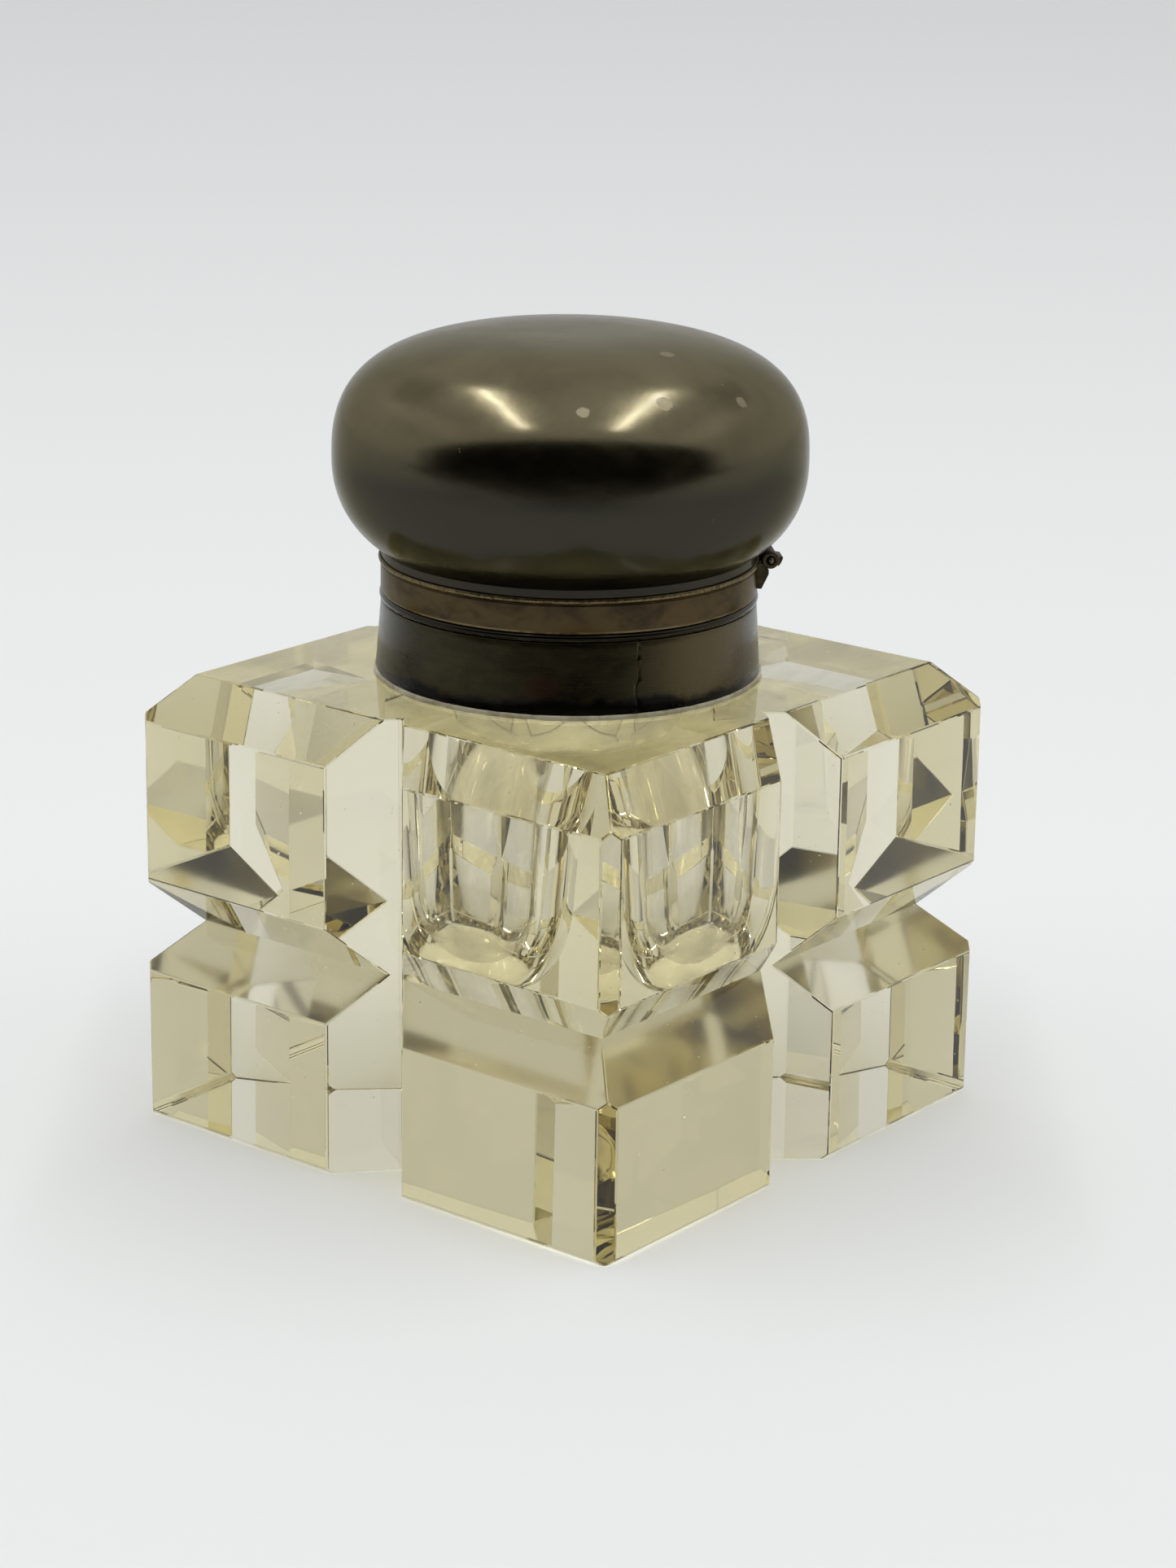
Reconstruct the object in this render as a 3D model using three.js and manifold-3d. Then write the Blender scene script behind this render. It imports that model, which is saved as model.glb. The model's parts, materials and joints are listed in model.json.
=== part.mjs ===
// A desk inkwell: a cube-cut glass block with a round ink well, a brass collar cemented round its neck,
// and a flattened-ball brass lid hinged to the collar.
// Millimetres, +Z up. The origin is the middle of the block's base.

import * as THREE from "three";
import { mergeVertices } from "three/addons/utils/BufferGeometryUtils.js";
import Module from "manifold-3d";

const wasm = await Module();
wasm.setup();

// The glass block and its cuts.
const BLOCK_WIDTH = 70; // along X
const BLOCK_DEPTH = 70.8; // along Y
const BLOCK_HEIGHT = 53.6;
const TOP_BEVEL_ACROSS = 5.0;
const TOP_BEVEL_DOWN = 5.3;
const CORNER_CHAMFER = 1.6; // leg of the flat along each upright corner
const FOOT_ARRIS = 0.6; // leg of the small flat round the base
const SIDE_CUT_WIDTH = 11.4; // the upright V in the middle of each side
const SIDE_CUT_DEPTH = 6.7;
const WAIST_CUT_HEIGHT = 23.75; // of the bottom line of the V round the block
const WAIST_CUT_WIDTH = 11.2;
const WAIST_CUT_DEPTH = 5.4;

// The ink well, and the glass neck round its mouth.
const WELL_FLOOR_HEIGHT = 20;
const WELL_FLOOR_ROUNDING = [8, 12]; // across, upwards
const WELL_RADIUS = 13.3; // just above the rounded floor
const WELL_SHOULDER_WIDTH = 4.2; // from the mouth's edge out to the top of the wall
const WELL_SHOULDER_DROP = 5; // shoulder below the top of the block
const WELL_SHOULDER_RISE = 4.5;
const MOUTH_RADIUS = 10.6;
const NECK_RADIUS = 19.4;

// The collar and its cement.
const COLLAR_HEIGHT = 9.6; // from the top of the block to the seam
const COLLAR_RADIUS = 21.6; // at its top, and the lid's rim above it
const COLLAR_FLARE = 0.6; // how much wider its foot is
const COLLAR_WALL = 0.9;
const CEMENT_BED = 0.4; // under the collar's foot
const CEMENT_SQUEEZE = 0.25; // how far the bed stands out round the foot
const SEAT_THICKNESS = 1; // the flange that the lid lands on
const SEAT_OVERHANG = 0.15;
const MOUTH_LIP_DEPTH = 4; // below the seat's underside
const MOUTH_LIP_WALL = 0.8;
const MOUTH_LIP_GAP = 0.3; // between the lip and the glass

// The lid.
const LID_WALL = 0.9;
const RIM_HEIGHT = 4.1;
const RIM_BEAD_RADIUS = 0.35;
const RIM_BEAD_PROUD = 0.25;
const DOME_RADIUS = 27.2;
const DOME_EQUATOR_HEIGHT = 15.45; // above the seam
const CROWN_RISE = 14.35; // above the equator
const CROWN_SQUARENESS = [3.14, 2.66]; // across, upwards: 2 and 2 would be a plain ellipse
const BELLY_DROP = 13.3; // below the equator, before the neck cuts it off
const BELLY_SQUARENESS = [3.75, 2.16];
const PLATE_RECESS = 0.6; // closing plate above the seam
const PLATE_THICKNESS = 0.8;
const SPIGOT_DEPTH = 1.5; // locating ring below the seam
const SPIGOT_WALL = 0.8;
const SPIGOT_CLEARANCE = 0.4;

// The hinge, in a frame turned so that its X points away from the collar's middle.
const HINGE_DIRECTION = 45; // degrees from +X
const HINGE_HEIGHT = 3.8; // pin above the seam
const KNUCKLE_RADIUS = 1;
const KNUCKLE_STANDOFF = 0.15; // knuckles clear of the rim
const KNUCKLE_GAP = 0.3;
const MIDDLE_KNUCKLE_LENGTH = 2.8;
const OUTER_KNUCKLE_LENGTH = 2.3;
const PIN_RADIUS = 0.4;
const PIN_CLEARANCE = 0.08;
const PIN_PROUD = 0.25;
const SOLDER_GAP = 0.15;
const LEAF_THICKNESS = 0.9;
const LEAF_INSET = 0.25; // leaf inside the rim's outer face
const LEAF_HEADROOM = 0.35; // leaf's top under the dome
const SLOT_CLEARANCE = 0.4; // round the leaf, in the lid
const CRADLE_REACH = 0.35; // cradles stop short of the pin's axis by this
const BEARER_PROUD = 0.95;
const BEARER_BOTTOM = 0.5; // above the seam
const BEARER_SLOPE = 1.7; // height of its slanted underside
const STOP_REACH = 1.85; // from the pin's axis to the stop's edge
const OPEN_ANGLE = 110; // degrees, where the lid meets the stop
const STOP_WIDTH_ANGLE = 36;

// Fineness of the round pieces.
const ROUND_STEPS = 60;
const KNUCKLE_STEPS = 16;
const MERGE_DISTANCE = 1e-4;
const CUT_MARGIN = 2;

// Heights and radii that follow from the sizes above.
const seamHeight = BLOCK_HEIGHT + COLLAR_HEIGHT;
const seatUnderside = seamHeight - SEAT_THICKNESS;
const footRadius = COLLAR_RADIUS + COLLAR_FLARE;
const lipRadius = MOUTH_RADIUS - MOUTH_LIP_GAP - MOUTH_LIP_WALL;
const rimTop = seamHeight + RIM_HEIGHT;
const rimInside = COLLAR_RADIUS - LID_WALL;
const equatorHeight = seamHeight + DOME_EQUATOR_HEIGHT;
const hingeOut = COLLAR_RADIUS + KNUCKLE_STANDOFF + KNUCKLE_RADIUS;
const hingeHeight = seamHeight + HINGE_HEIGHT;
const leafHalfWidth = MIDDLE_KNUCKLE_LENGTH / 2;
const slotHalfWidth = leafHalfWidth + KNUCKLE_GAP;
const leafInside = COLLAR_RADIUS - LEAF_INSET - LEAF_THICKNESS;
const cradleRadius = KNUCKLE_RADIUS + SOLDER_GAP;
const hingeTurn = THREE.MathUtils.degToRad(HINGE_DIRECTION);

const glass = { color: 0xd9d8bd, roughness: 0.05, metalness: 0 };
const lidBrass = { color: 0x4a4430, roughness: 0.35, metalness: 0.9 };
const collarBrass = { color: 0x3a3626, roughness: 0.4, metalness: 0.9 };
const innerBrass = { color: 0x6b5a35, roughness: 0.45, metalness: 0.9 };
const hingeBrass = { color: 0x3f3b30, roughness: 0.6, metalness: 0.8 };
const pinSteel = { color: 0x55524c, roughness: 0.45, metalness: 0.9 };
const cement = { color: 0xc9c3b0, roughness: 0.95, metalness: 0 };

// A closed geometry as a solid that can be joined and cut.
function solidOf(geometry) {
  const bare = new THREE.BufferGeometry();
  bare.setAttribute("position", geometry.getAttribute("position"));
  bare.setIndex(geometry.getIndex());
  const merged = mergeVertices(bare, MERGE_DISTANCE);
  const corners = merged.getIndex().array;
  const kept = [];
  for (let i = 0; i < corners.length; i += 3) {
    const [a, b, c] = corners.slice(i, i + 3);
    if (a !== b && b !== c && c !== a) kept.push(a, b, c);
  }
  return new wasm.Manifold(
    new wasm.Mesh({
      numProp: 3,
      vertProperties: merged.getAttribute("position").array,
      triVerts: new Uint32Array(kept),
    }),
  );
}

// A joined or cut solid as a flat-shaded geometry.
function geometryOf(solid) {
  const mesh = solid.getMesh();
  const indexed = new THREE.BufferGeometry();
  indexed.setAttribute("position", new THREE.BufferAttribute(mesh.vertProperties, 3));
  indexed.setIndex(new THREE.BufferAttribute(mesh.triVerts, 1));
  const geometry = indexed.toNonIndexed();
  geometry.computeVertexNormals();
  return geometry;
}

// A profile of [radius, height] points, anticlockwise, turned about the Z axis.
function turned(profile, steps = ROUND_STEPS) {
  const points = profile.map(([radius, height]) => new THREE.Vector2(radius, height));
  return new THREE.LatheGeometry(points, steps).rotateX(Math.PI / 2);
}

// The same, for a ring whose profile closes on itself.
function turnedRing(profile, steps = ROUND_STEPS) {
  return turned([...profile, profile[0]], steps);
}

// Points on an arc of an ellipse, from one angle to the other, in degrees.
function arc(centre, radii, from, to, steps) {
  return Array.from({ length: steps + 1 }, (_, i) => {
    const angle = THREE.MathUtils.degToRad(from + ((to - from) * i) / steps);
    return [centre[0] + radii[0] * Math.cos(angle), centre[1] + radii[1] * Math.sin(angle)];
  });
}

// A flat outline drawn in X (outwards) and Z (up), as a bar along Y between two places.
function bar(outline, from, to) {
  const shape = new THREE.Shape(outline.map(([x, z]) => new THREE.Vector2(x, z)));
  const solid = new THREE.ExtrudeGeometry(shape, { depth: to - from, bevelEnabled: false });
  return solid.rotateX(Math.PI / 2).translate(0, to, 0);
}

// The block's plan: four sides, each with its V in the middle, and a chamfer at each corner.
function blockPlan() {
  const points = [];
  for (let side = 0; side < 4; side++) {
    const out = (side % 2 ? BLOCK_DEPTH : BLOCK_WIDTH) / 2;
    const end = (side % 2 ? BLOCK_WIDTH : BLOCK_DEPTH) / 2 - CORNER_CHAMFER;
    const along = [
      [out, -end],
      [out, -SIDE_CUT_WIDTH / 2],
      [out - SIDE_CUT_DEPTH, 0],
      [out, SIDE_CUT_WIDTH / 2],
      [out, end],
    ];
    const turn = (side * Math.PI) / 2;
    along.forEach(([x, y]) => points.push(new THREE.Vector2(x, y).rotateAround(new THREE.Vector2(), turn)));
  }
  return points;
}

// The bars of waste that are ground away along one side: top bevel, waist V and foot arris.
function sideWaste(side) {
  const out = (side % 2 ? BLOCK_DEPTH : BLOCK_WIDTH) / 2;
  const reach = (side % 2 ? BLOCK_WIDTH : BLOCK_DEPTH) / 2 + CUT_MARGIN;
  const beyond = out + CUT_MARGIN;
  const bevelSlope = TOP_BEVEL_DOWN / TOP_BEVEL_ACROSS;
  const waistSpread = (WAIST_CUT_WIDTH / 2) * (1 + CUT_MARGIN / WAIST_CUT_DEPTH);
  const outlines = [
    [
      [out - TOP_BEVEL_ACROSS - CUT_MARGIN, BLOCK_HEIGHT + CUT_MARGIN * bevelSlope],
      [beyond, BLOCK_HEIGHT - TOP_BEVEL_DOWN - CUT_MARGIN * bevelSlope],
      [beyond, BLOCK_HEIGHT + CUT_MARGIN * bevelSlope],
    ],
    [
      [out - WAIST_CUT_DEPTH, WAIST_CUT_HEIGHT],
      [beyond, WAIST_CUT_HEIGHT - waistSpread],
      [beyond, WAIST_CUT_HEIGHT + waistSpread],
    ],
    [
      [out - FOOT_ARRIS - CUT_MARGIN, -CUT_MARGIN],
      [beyond, -CUT_MARGIN],
      [beyond, FOOT_ARRIS + CUT_MARGIN],
    ],
  ];
  return outlines.map((outline) => bar(outline, -reach, reach).rotateZ((side * Math.PI) / 2));
}

// The well's space, from its floor up through the mouth.
function wellSpace() {
  const wallFoot = WELL_FLOOR_HEIGHT + WELL_FLOOR_ROUNDING[1];
  const shoulder = BLOCK_HEIGHT - WELL_SHOULDER_DROP;
  const top = seatUnderside + CUT_MARGIN;
  const floorCentre = [WELL_RADIUS - WELL_FLOOR_ROUNDING[0], wallFoot];
  const shoulderCentre = [MOUTH_RADIUS, shoulder];
  return turned([
    [0, WELL_FLOOR_HEIGHT],
    ...arc(floorCentre, WELL_FLOOR_ROUNDING, -90, 0, 6),
    ...arc(shoulderCentre, [WELL_SHOULDER_WIDTH, WELL_SHOULDER_RISE], 0, 90, 4),
    [MOUTH_RADIUS, top],
    [0, top],
  ]);
}

function glassBlock() {
  const plan = new THREE.Shape(blockPlan());
  let block = solidOf(new THREE.ExtrudeGeometry(plan, { depth: BLOCK_HEIGHT, bevelEnabled: false }));
  for (let side = 0; side < 4; side++) {
    for (const waste of sideWaste(side)) block = block.subtract(solidOf(waste));
  }
  const neck = turned([
    [0, BLOCK_HEIGHT - CUT_MARGIN],
    [NECK_RADIUS, BLOCK_HEIGHT - CUT_MARGIN],
    [NECK_RADIUS, seatUnderside],
    [0, seatUnderside],
  ]);
  return geometryOf(block.add(solidOf(neck)).subtract(solidOf(wellSpace())));
}

const collarFoot = BLOCK_HEIGHT + CEMENT_BED;

function cementBed() {
  return turnedRing([
    [NECK_RADIUS, BLOCK_HEIGHT],
    [footRadius + CEMENT_SQUEEZE, BLOCK_HEIGHT],
    [footRadius + CEMENT_SQUEEZE, collarFoot],
    [footRadius - COLLAR_WALL, collarFoot],
    [COLLAR_RADIUS - COLLAR_WALL, seatUnderside],
    [NECK_RADIUS, seatUnderside],
  ]);
}

function collarBand() {
  return turnedRing([
    [footRadius - COLLAR_WALL, collarFoot],
    [footRadius, collarFoot],
    [COLLAR_RADIUS, seatUnderside],
    [COLLAR_RADIUS - COLLAR_WALL, seatUnderside],
  ]);
}

// The seat that closes the collar's top, with a round edge, and the lip that lines the mouth.
function collarMouthRing() {
  const roundness = SEAT_THICKNESS / 2;
  const edgeCentre = [COLLAR_RADIUS + SEAT_OVERHANG - roundness, seatUnderside + roundness];
  const lipBottom = seatUnderside - MOUTH_LIP_DEPTH;
  return turnedRing([
    [lipRadius, lipBottom],
    [lipRadius + MOUTH_LIP_WALL, lipBottom],
    [lipRadius + MOUTH_LIP_WALL, seatUnderside],
    ...arc(edgeCentre, [roundness, roundness], -90, 90, 6),
    [lipRadius, seamHeight],
  ]);
}

// The dome's outside, from the bottom of its neck up to the crown.
function domeOutside(steps) {
  const power = (base, exponent) => Math.pow(Math.max(base, 0), exponent);
  const [bellyAcross, bellyDown] = BELLY_SQUARENESS;
  const [crownAcross, crownUp] = CROWN_SQUARENESS;
  const neckAngle = Math.acos(power(COLLAR_RADIUS / DOME_RADIUS, bellyAcross / 2));
  const points = [[COLLAR_RADIUS, rimTop]];
  for (let i = 0; i < steps; i++) {
    const angle = neckAngle * (1 - i / steps);
    points.push([
      DOME_RADIUS * power(Math.cos(angle), 2 / bellyAcross),
      equatorHeight - BELLY_DROP * power(Math.sin(angle), 2 / bellyDown),
    ]);
  }
  for (let i = 0; i <= steps; i++) {
    const angle = (Math.PI / 2) * (i / steps);
    points.push([
      i < steps ? DOME_RADIUS * power(Math.cos(angle), 2 / crownAcross) : 0,
      equatorHeight + CROWN_RISE * power(Math.sin(angle), 2 / crownUp),
    ]);
  }
  return points;
}

// The dome's inside: each point of the outside moved in by the wall, square to the outline.
function domeInside(outside) {
  const inside = outside.slice(1, -1).map(([radius, height], i) => {
    const before = outside[i];
    const after = outside[i + 2];
    const along = new THREE.Vector2(after[0] - before[0], after[1] - before[1]).normalize();
    return [radius - LID_WALL * along.y, height + LID_WALL * along.x];
  });
  const crown = outside[outside.length - 1];
  return [[rimInside, rimTop], ...inside, [0, crown[1] - LID_WALL]];
}

function lidDome() {
  const outside = domeOutside(9);
  return turned([...domeInside(outside).reverse(), ...outside]);
}

// Everything of the lid that the hinge leaf passes through, cut away.
function leafSlot() {
  const outline = [
    [leafInside - SLOT_CLEARANCE, seamHeight - CUT_MARGIN],
    [COLLAR_RADIUS + CUT_MARGIN, seamHeight - CUT_MARGIN],
    [COLLAR_RADIUS + CUT_MARGIN, rimTop + CUT_MARGIN],
    [leafInside - SLOT_CLEARANCE, rimTop + CUT_MARGIN],
  ];
  return solidOf(bar(outline, -slotHalfWidth, slotHalfWidth).rotateZ(hingeTurn));
}

// The rim's outside, with its bead, let out by a gap.
function rimOutside(gap) {
  const beadHeight = rimTop - RIM_BEAD_RADIUS;
  return [
    [COLLAR_RADIUS + gap, seamHeight],
    [COLLAR_RADIUS + gap, beadHeight - RIM_BEAD_RADIUS - gap],
    ...arc([COLLAR_RADIUS, beadHeight], [RIM_BEAD_PROUD + gap, RIM_BEAD_RADIUS + gap], -60, 60, 4),
    [COLLAR_RADIUS + gap, rimTop + gap],
  ];
}

function lidRimBand() {
  const ring = turnedRing([[rimInside, seamHeight], ...rimOutside(0), [rimInside, rimTop]]);
  return geometryOf(solidOf(ring).subtract(leafSlot()));
}

function lidClosingPlate() {
  const underside = seamHeight + PLATE_RECESS;
  const disc = turned([
    [0, underside],
    [rimInside, underside],
    [rimInside, underside + PLATE_THICKNESS],
    [0, underside + PLATE_THICKNESS],
  ]);
  return geometryOf(solidOf(disc).subtract(leafSlot()));
}

function lidLocatingRing() {
  const outer = lipRadius - SPIGOT_CLEARANCE;
  const bottom = seamHeight - SPIGOT_DEPTH;
  const top = seamHeight + PLATE_RECESS;
  return turnedRing([
    [outer - SPIGOT_WALL, bottom],
    [outer, bottom],
    [outer, top],
    [outer - SPIGOT_WALL, top],
  ]);
}

// A round bar along Y on the hinge's axis.
function onHingeAxis(geometry) {
  return geometry.translate(hingeOut, 0, hingeHeight);
}

function cradleCut() {
  const length = 2 * (MIDDLE_KNUCKLE_LENGTH + OUTER_KNUCKLE_LENGTH + CUT_MARGIN);
  return solidOf(onHingeAxis(new THREE.CylinderGeometry(cradleRadius, cradleRadius, length, KNUCKLE_STEPS)));
}

// A short tube for the pin, between two places along the hinge.
function knuckle(from, to) {
  const bore = PIN_RADIUS + PIN_CLEARANCE;
  const profile = [
    [bore, from],
    [KNUCKLE_RADIUS, from],
    [KNUCKLE_RADIUS, to],
    [bore, to],
    [bore, from],
  ];
  const points = profile.map(([radius, along]) => new THREE.Vector2(radius, along));
  return onHingeAxis(new THREE.LatheGeometry(points, KNUCKLE_STEPS));
}

// How far round the pin, from straight inwards over the top, the dome's underside comes within the
// stop's reach: the stop's face waits there, moved on by the angle that the lid opens.
function domeAngleAtStop() {
  const angles = domeOutside(200)
    .map(([radius, height]) => [hingeOut - radius, height - hingeHeight])
    .filter(([inwards, up]) => Math.hypot(inwards, up) <= STOP_REACH)
    .map(([inwards, up]) => THREE.MathUtils.radToDeg(Math.atan2(up, inwards)));
  return Math.max(0, ...angles);
}

// The collar's knuckle, with the stop that the opened lid's neck comes round to.
function collarKnuckle() {
  const face = 180 - (domeAngleAtStop() + OPEN_ANGLE + 2);
  const back = face - STOP_WIDTH_ANGLE;
  const root = PIN_RADIUS + PIN_CLEARANCE + 0.3;
  const centre = [hingeOut, hingeHeight];
  const outline = [
    ...arc(centre, [STOP_REACH, STOP_REACH], back, face, 4),
    ...arc(centre, [root, root], face, back, 4),
  ];
  const stop = solidOf(bar(outline, -leafHalfWidth, leafHalfWidth));
  return geometryOf(solidOf(knuckle(-leafHalfWidth, leafHalfWidth)).add(stop));
}

// The leaf that stands on the seat, passes up through the lid's slot and cradles the collar's knuckle.
function collarHingeLeaf() {
  const outside = COLLAR_RADIUS - LEAF_INSET;
  const top = rimTop - LEAF_HEADROOM;
  const outline = [
    [leafInside, seamHeight],
    [outside, seamHeight],
    [outside, hingeHeight - 2 * KNUCKLE_RADIUS],
    [hingeOut - CRADLE_REACH, hingeHeight - 1.2 * KNUCKLE_RADIUS],
    [hingeOut - CRADLE_REACH, top],
    [leafInside, top],
  ];
  return geometryOf(solidOf(bar(outline, -leafHalfWidth, leafHalfWidth)).subtract(cradleCut()));
}

// One of the two blocks on the lid's rim that carry the lid's knuckles.
function lidHingeBearer(from, to) {
  const proud = COLLAR_RADIUS + BEARER_PROUD;
  const outline = [
    [rimInside, seamHeight + BEARER_BOTTOM],
    [COLLAR_RADIUS + SOLDER_GAP, seamHeight + BEARER_BOTTOM],
    [proud, seamHeight + BEARER_BOTTOM + BEARER_SLOPE],
    [proud, hingeHeight],
    [rimInside, hingeHeight],
  ];
  const rimSpace = turned([
    [0, seamHeight - CUT_MARGIN],
    [COLLAR_RADIUS + SOLDER_GAP, seamHeight - CUT_MARGIN],
    ...rimOutside(SOLDER_GAP),
    [COLLAR_RADIUS + SOLDER_GAP, rimTop + CUT_MARGIN],
    [0, rimTop + CUT_MARGIN],
  ]).rotateZ(-hingeTurn);
  return geometryOf(solidOf(bar(outline, from, to)).subtract(solidOf(rimSpace)).subtract(cradleCut()));
}

function hingePin() {
  const length = 2 * (leafHalfWidth + KNUCKLE_GAP + OUTER_KNUCKLE_LENGTH + PIN_PROUD);
  return onHingeAxis(new THREE.CylinderGeometry(PIN_RADIUS, PIN_RADIUS, length, KNUCKLE_STEPS));
}

function piece(name, geometry, finish) {
  const mesh = new THREE.Mesh(geometry, new THREE.MeshStandardMaterial(finish));
  mesh.name = name;
  return mesh;
}

const inkwell = new THREE.Group();
inkwell.add(
  piece("glass_block", glassBlock(), glass),
  piece("cement_bed", cementBed(), cement),
  piece("collar_band", collarBand(), collarBrass),
  piece("collar_mouth_ring", collarMouthRing(), collarBrass),
);

const lid = new THREE.Group();
lid.add(
  piece("lid_dome", lidDome(), lidBrass),
  piece("lid_rim_band", lidRimBand(), lidBrass),
  piece("lid_closing_plate", lidClosingPlate(), innerBrass),
  piece("lid_locating_ring", lidLocatingRing(), innerBrass),
);
inkwell.add(lid);

const outerEnd = slotHalfWidth + OUTER_KNUCKLE_LENGTH;
const hinge = new THREE.Group();
hinge.rotation.z = hingeTurn;
hinge.add(
  piece("collar_hinge_leaf", collarHingeLeaf(), hingeBrass),
  piece("collar_knuckle", collarKnuckle(), hingeBrass),
  piece("hinge_pin", hingePin(), pinSteel),
  piece("lid_hinge_bearer_front", lidHingeBearer(-outerEnd, -slotHalfWidth), hingeBrass),
  piece("lid_hinge_bearer_back", lidHingeBearer(slotHalfWidth, outerEnd), hingeBrass),
  piece("lid_knuckle_front", knuckle(-outerEnd, -slotHalfWidth), hingeBrass),
  piece("lid_knuckle_back", knuckle(slotHalfWidth, outerEnd), hingeBrass),
);
inkwell.add(hinge);

export default inkwell;
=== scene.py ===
"""A cube-cut glass inkwell with a cemented brass collar and a hinged, flattened-ball brass lid.

Laid out as an add-on and run as a script. Lengths are in metres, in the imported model's own frame.
"""

import json
import math
import random

import bmesh
import bpy
from bpy.props import FloatProperty, FloatVectorProperty, PointerProperty
from mathutils import Matrix, Vector


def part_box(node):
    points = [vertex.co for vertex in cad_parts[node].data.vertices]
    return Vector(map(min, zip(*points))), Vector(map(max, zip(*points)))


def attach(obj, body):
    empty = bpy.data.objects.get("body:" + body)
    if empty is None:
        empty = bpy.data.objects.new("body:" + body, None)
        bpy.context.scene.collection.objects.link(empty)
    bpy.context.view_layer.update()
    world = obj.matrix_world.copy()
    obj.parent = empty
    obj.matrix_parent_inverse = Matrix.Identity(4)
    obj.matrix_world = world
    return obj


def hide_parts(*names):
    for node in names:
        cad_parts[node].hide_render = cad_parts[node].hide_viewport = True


bl_info = {
    "name": "Cut glass inkwell",
    "version": (1, 0, 0),
    "blender": (4, 5, 0),
    "location": "View3D > Sidebar > Inkwell",
    "description": "Builds a cube-cut glass inkwell with a hinged brass lid around its packed model",
    "category": "Object",
}

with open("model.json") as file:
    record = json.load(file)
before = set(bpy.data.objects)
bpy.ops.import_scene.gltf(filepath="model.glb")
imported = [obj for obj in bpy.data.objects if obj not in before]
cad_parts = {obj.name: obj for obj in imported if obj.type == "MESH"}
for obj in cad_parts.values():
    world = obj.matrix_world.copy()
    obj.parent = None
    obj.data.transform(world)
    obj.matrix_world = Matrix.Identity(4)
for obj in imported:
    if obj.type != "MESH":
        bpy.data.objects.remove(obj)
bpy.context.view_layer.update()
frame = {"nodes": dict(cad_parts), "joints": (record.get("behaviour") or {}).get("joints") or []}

MM = 0.001

glass_low, glass_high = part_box("glass_block")
cement_low, cement_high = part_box("cement_bed")
collar_low, collar_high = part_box("collar_band")
mouth_low, mouth_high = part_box("collar_mouth_ring")
rim_low, rim_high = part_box("lid_rim_band")
dome_low, dome_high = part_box("lid_dome")
plate_low, plate_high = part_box("lid_closing_plate")
spigot_low, spigot_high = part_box("lid_locating_ring")
HINGE = frame["joints"][0]

BLOCK_TOP = cement_low.z
COLLAR_FOOT = collar_low.z
SEAT_UNDERSIDE = glass_high.z
SEAM = rim_low.z
RIM_TOP = dome_low.z
RIM_RADIUS = 21.6 * MM  # of the lid's rim and of the collar's top
AIR = 0.02 * MM  # between pieces that touch
BOND = 0.05 * MM  # how far the cement sits into the glass, so that no air shows between them
CLEAR = 2 * MM  # how far a cutter stands past what it cuts
REACH = 0.2  # longer than anything here
CROWN_SPOTS = (  # where the lid's patina is worn through: each place and its radius, in millimetres
    ((14.3, -1.0, 92.2), 0.75),
    ((15.8, -17.5, 88.4), 0.6),
    ((24.0, 0.0, 88.1), 0.65),
    ((20.8, -9.7, 88.9), 0.8),
    ((1.7, -5.9, 93.0), 0.55),
)
RED_PATCH = (11.6, -18.6, 56.8)  # on the collar, in millimetres
RUBBED_PLACE = (21.5, -1.5, 59.5)  # where the collar is rubbed brighter, in millimetres


# Settings


def length(name, description, default):
    """A length that the sidebar shows in the scene's units."""
    return FloatProperty(name=name, description=description, default=default, min=0, unit="LENGTH")


def share(name, description, default, top=1.0):
    """A plain number from nothing up to a top."""
    return FloatProperty(name=name, description=description, default=default, min=0, max=top)


def colour(name, description, default):
    """A linear colour."""
    return FloatVectorProperty(
        name=name, description=description, default=default, min=0, max=1, size=3, subtype="COLOR"
    )


class GlassSettings(bpy.types.PropertyGroup):
    """The cut block, its well and its glass."""

    bevel_across: length("Top bevel across", "Width of the top bevels, seen from above", 5.0 * MM)
    bevel_down: length("Top bevel down", "Height of the top bevels, seen from the side", 5.3 * MM)
    chamfer: length("Corner chamfer", "Leg of the flat along each upright corner", 1.6 * MM)
    foot_arris: length("Foot arris", "Leg of the small flat round the base", 0.6 * MM)
    side_width: length("Side cut width", "Opening of the upright V in each side", 11.4 * MM)
    side_depth: length("Side cut depth", "Depth of the upright V in each side", 6.7 * MM)
    waist_height: length("Waist height", "Height of the bottom line of the V round the block", 23.75 * MM)
    waist_width: length("Waist cut width", "Opening of the V round the block", 11.2 * MM)
    waist_depth: length("Waist cut depth", "Depth of the V round the block", 5.4 * MM)
    edge: length("Edge wear", "Width of the rubbed arris on every cut edge", 0.18 * MM)
    neck_radius: length("Neck radius", "Outside of the glass neck in the collar", 19.4 * MM)
    neck_bed: length("Neck bed", "Thickness of the cement over the glass neck", 0.35 * MM)
    well_floor: length("Well floor", "Height of the well's floor", 20.0 * MM)
    well_rounding: length("Well rounding across", "Width of the curve from floor to wall", 8.0 * MM)
    well_rounding_up: length("Well rounding up", "Height of the curve from floor to wall", 12.0 * MM)
    well_radius: length("Well radius", "Radius just above the rounded floor", 13.3 * MM)
    well_top_radius: length("Well top radius", "Radius where the wall meets the shoulder", 14.8 * MM)
    shoulder_drop: length("Shoulder drop", "Shoulder below the top of the block", 5.0 * MM)
    shoulder_rise: length("Shoulder rise", "Height of the curved shoulder", 4.5 * MM)
    mouth_radius: length("Mouth radius", "Radius of the mouth", 10.6 * MM)
    tint: colour("Tint", "Colour of the glass at the tint density", (0.81, 0.76, 0.50))
    tint_density: share("Tint density", "How strongly thick glass is tinted", 21.5, 100.0)
    refraction: share("Refractive index", "Refractive index of the glass", 1.52, 2.5)


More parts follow.
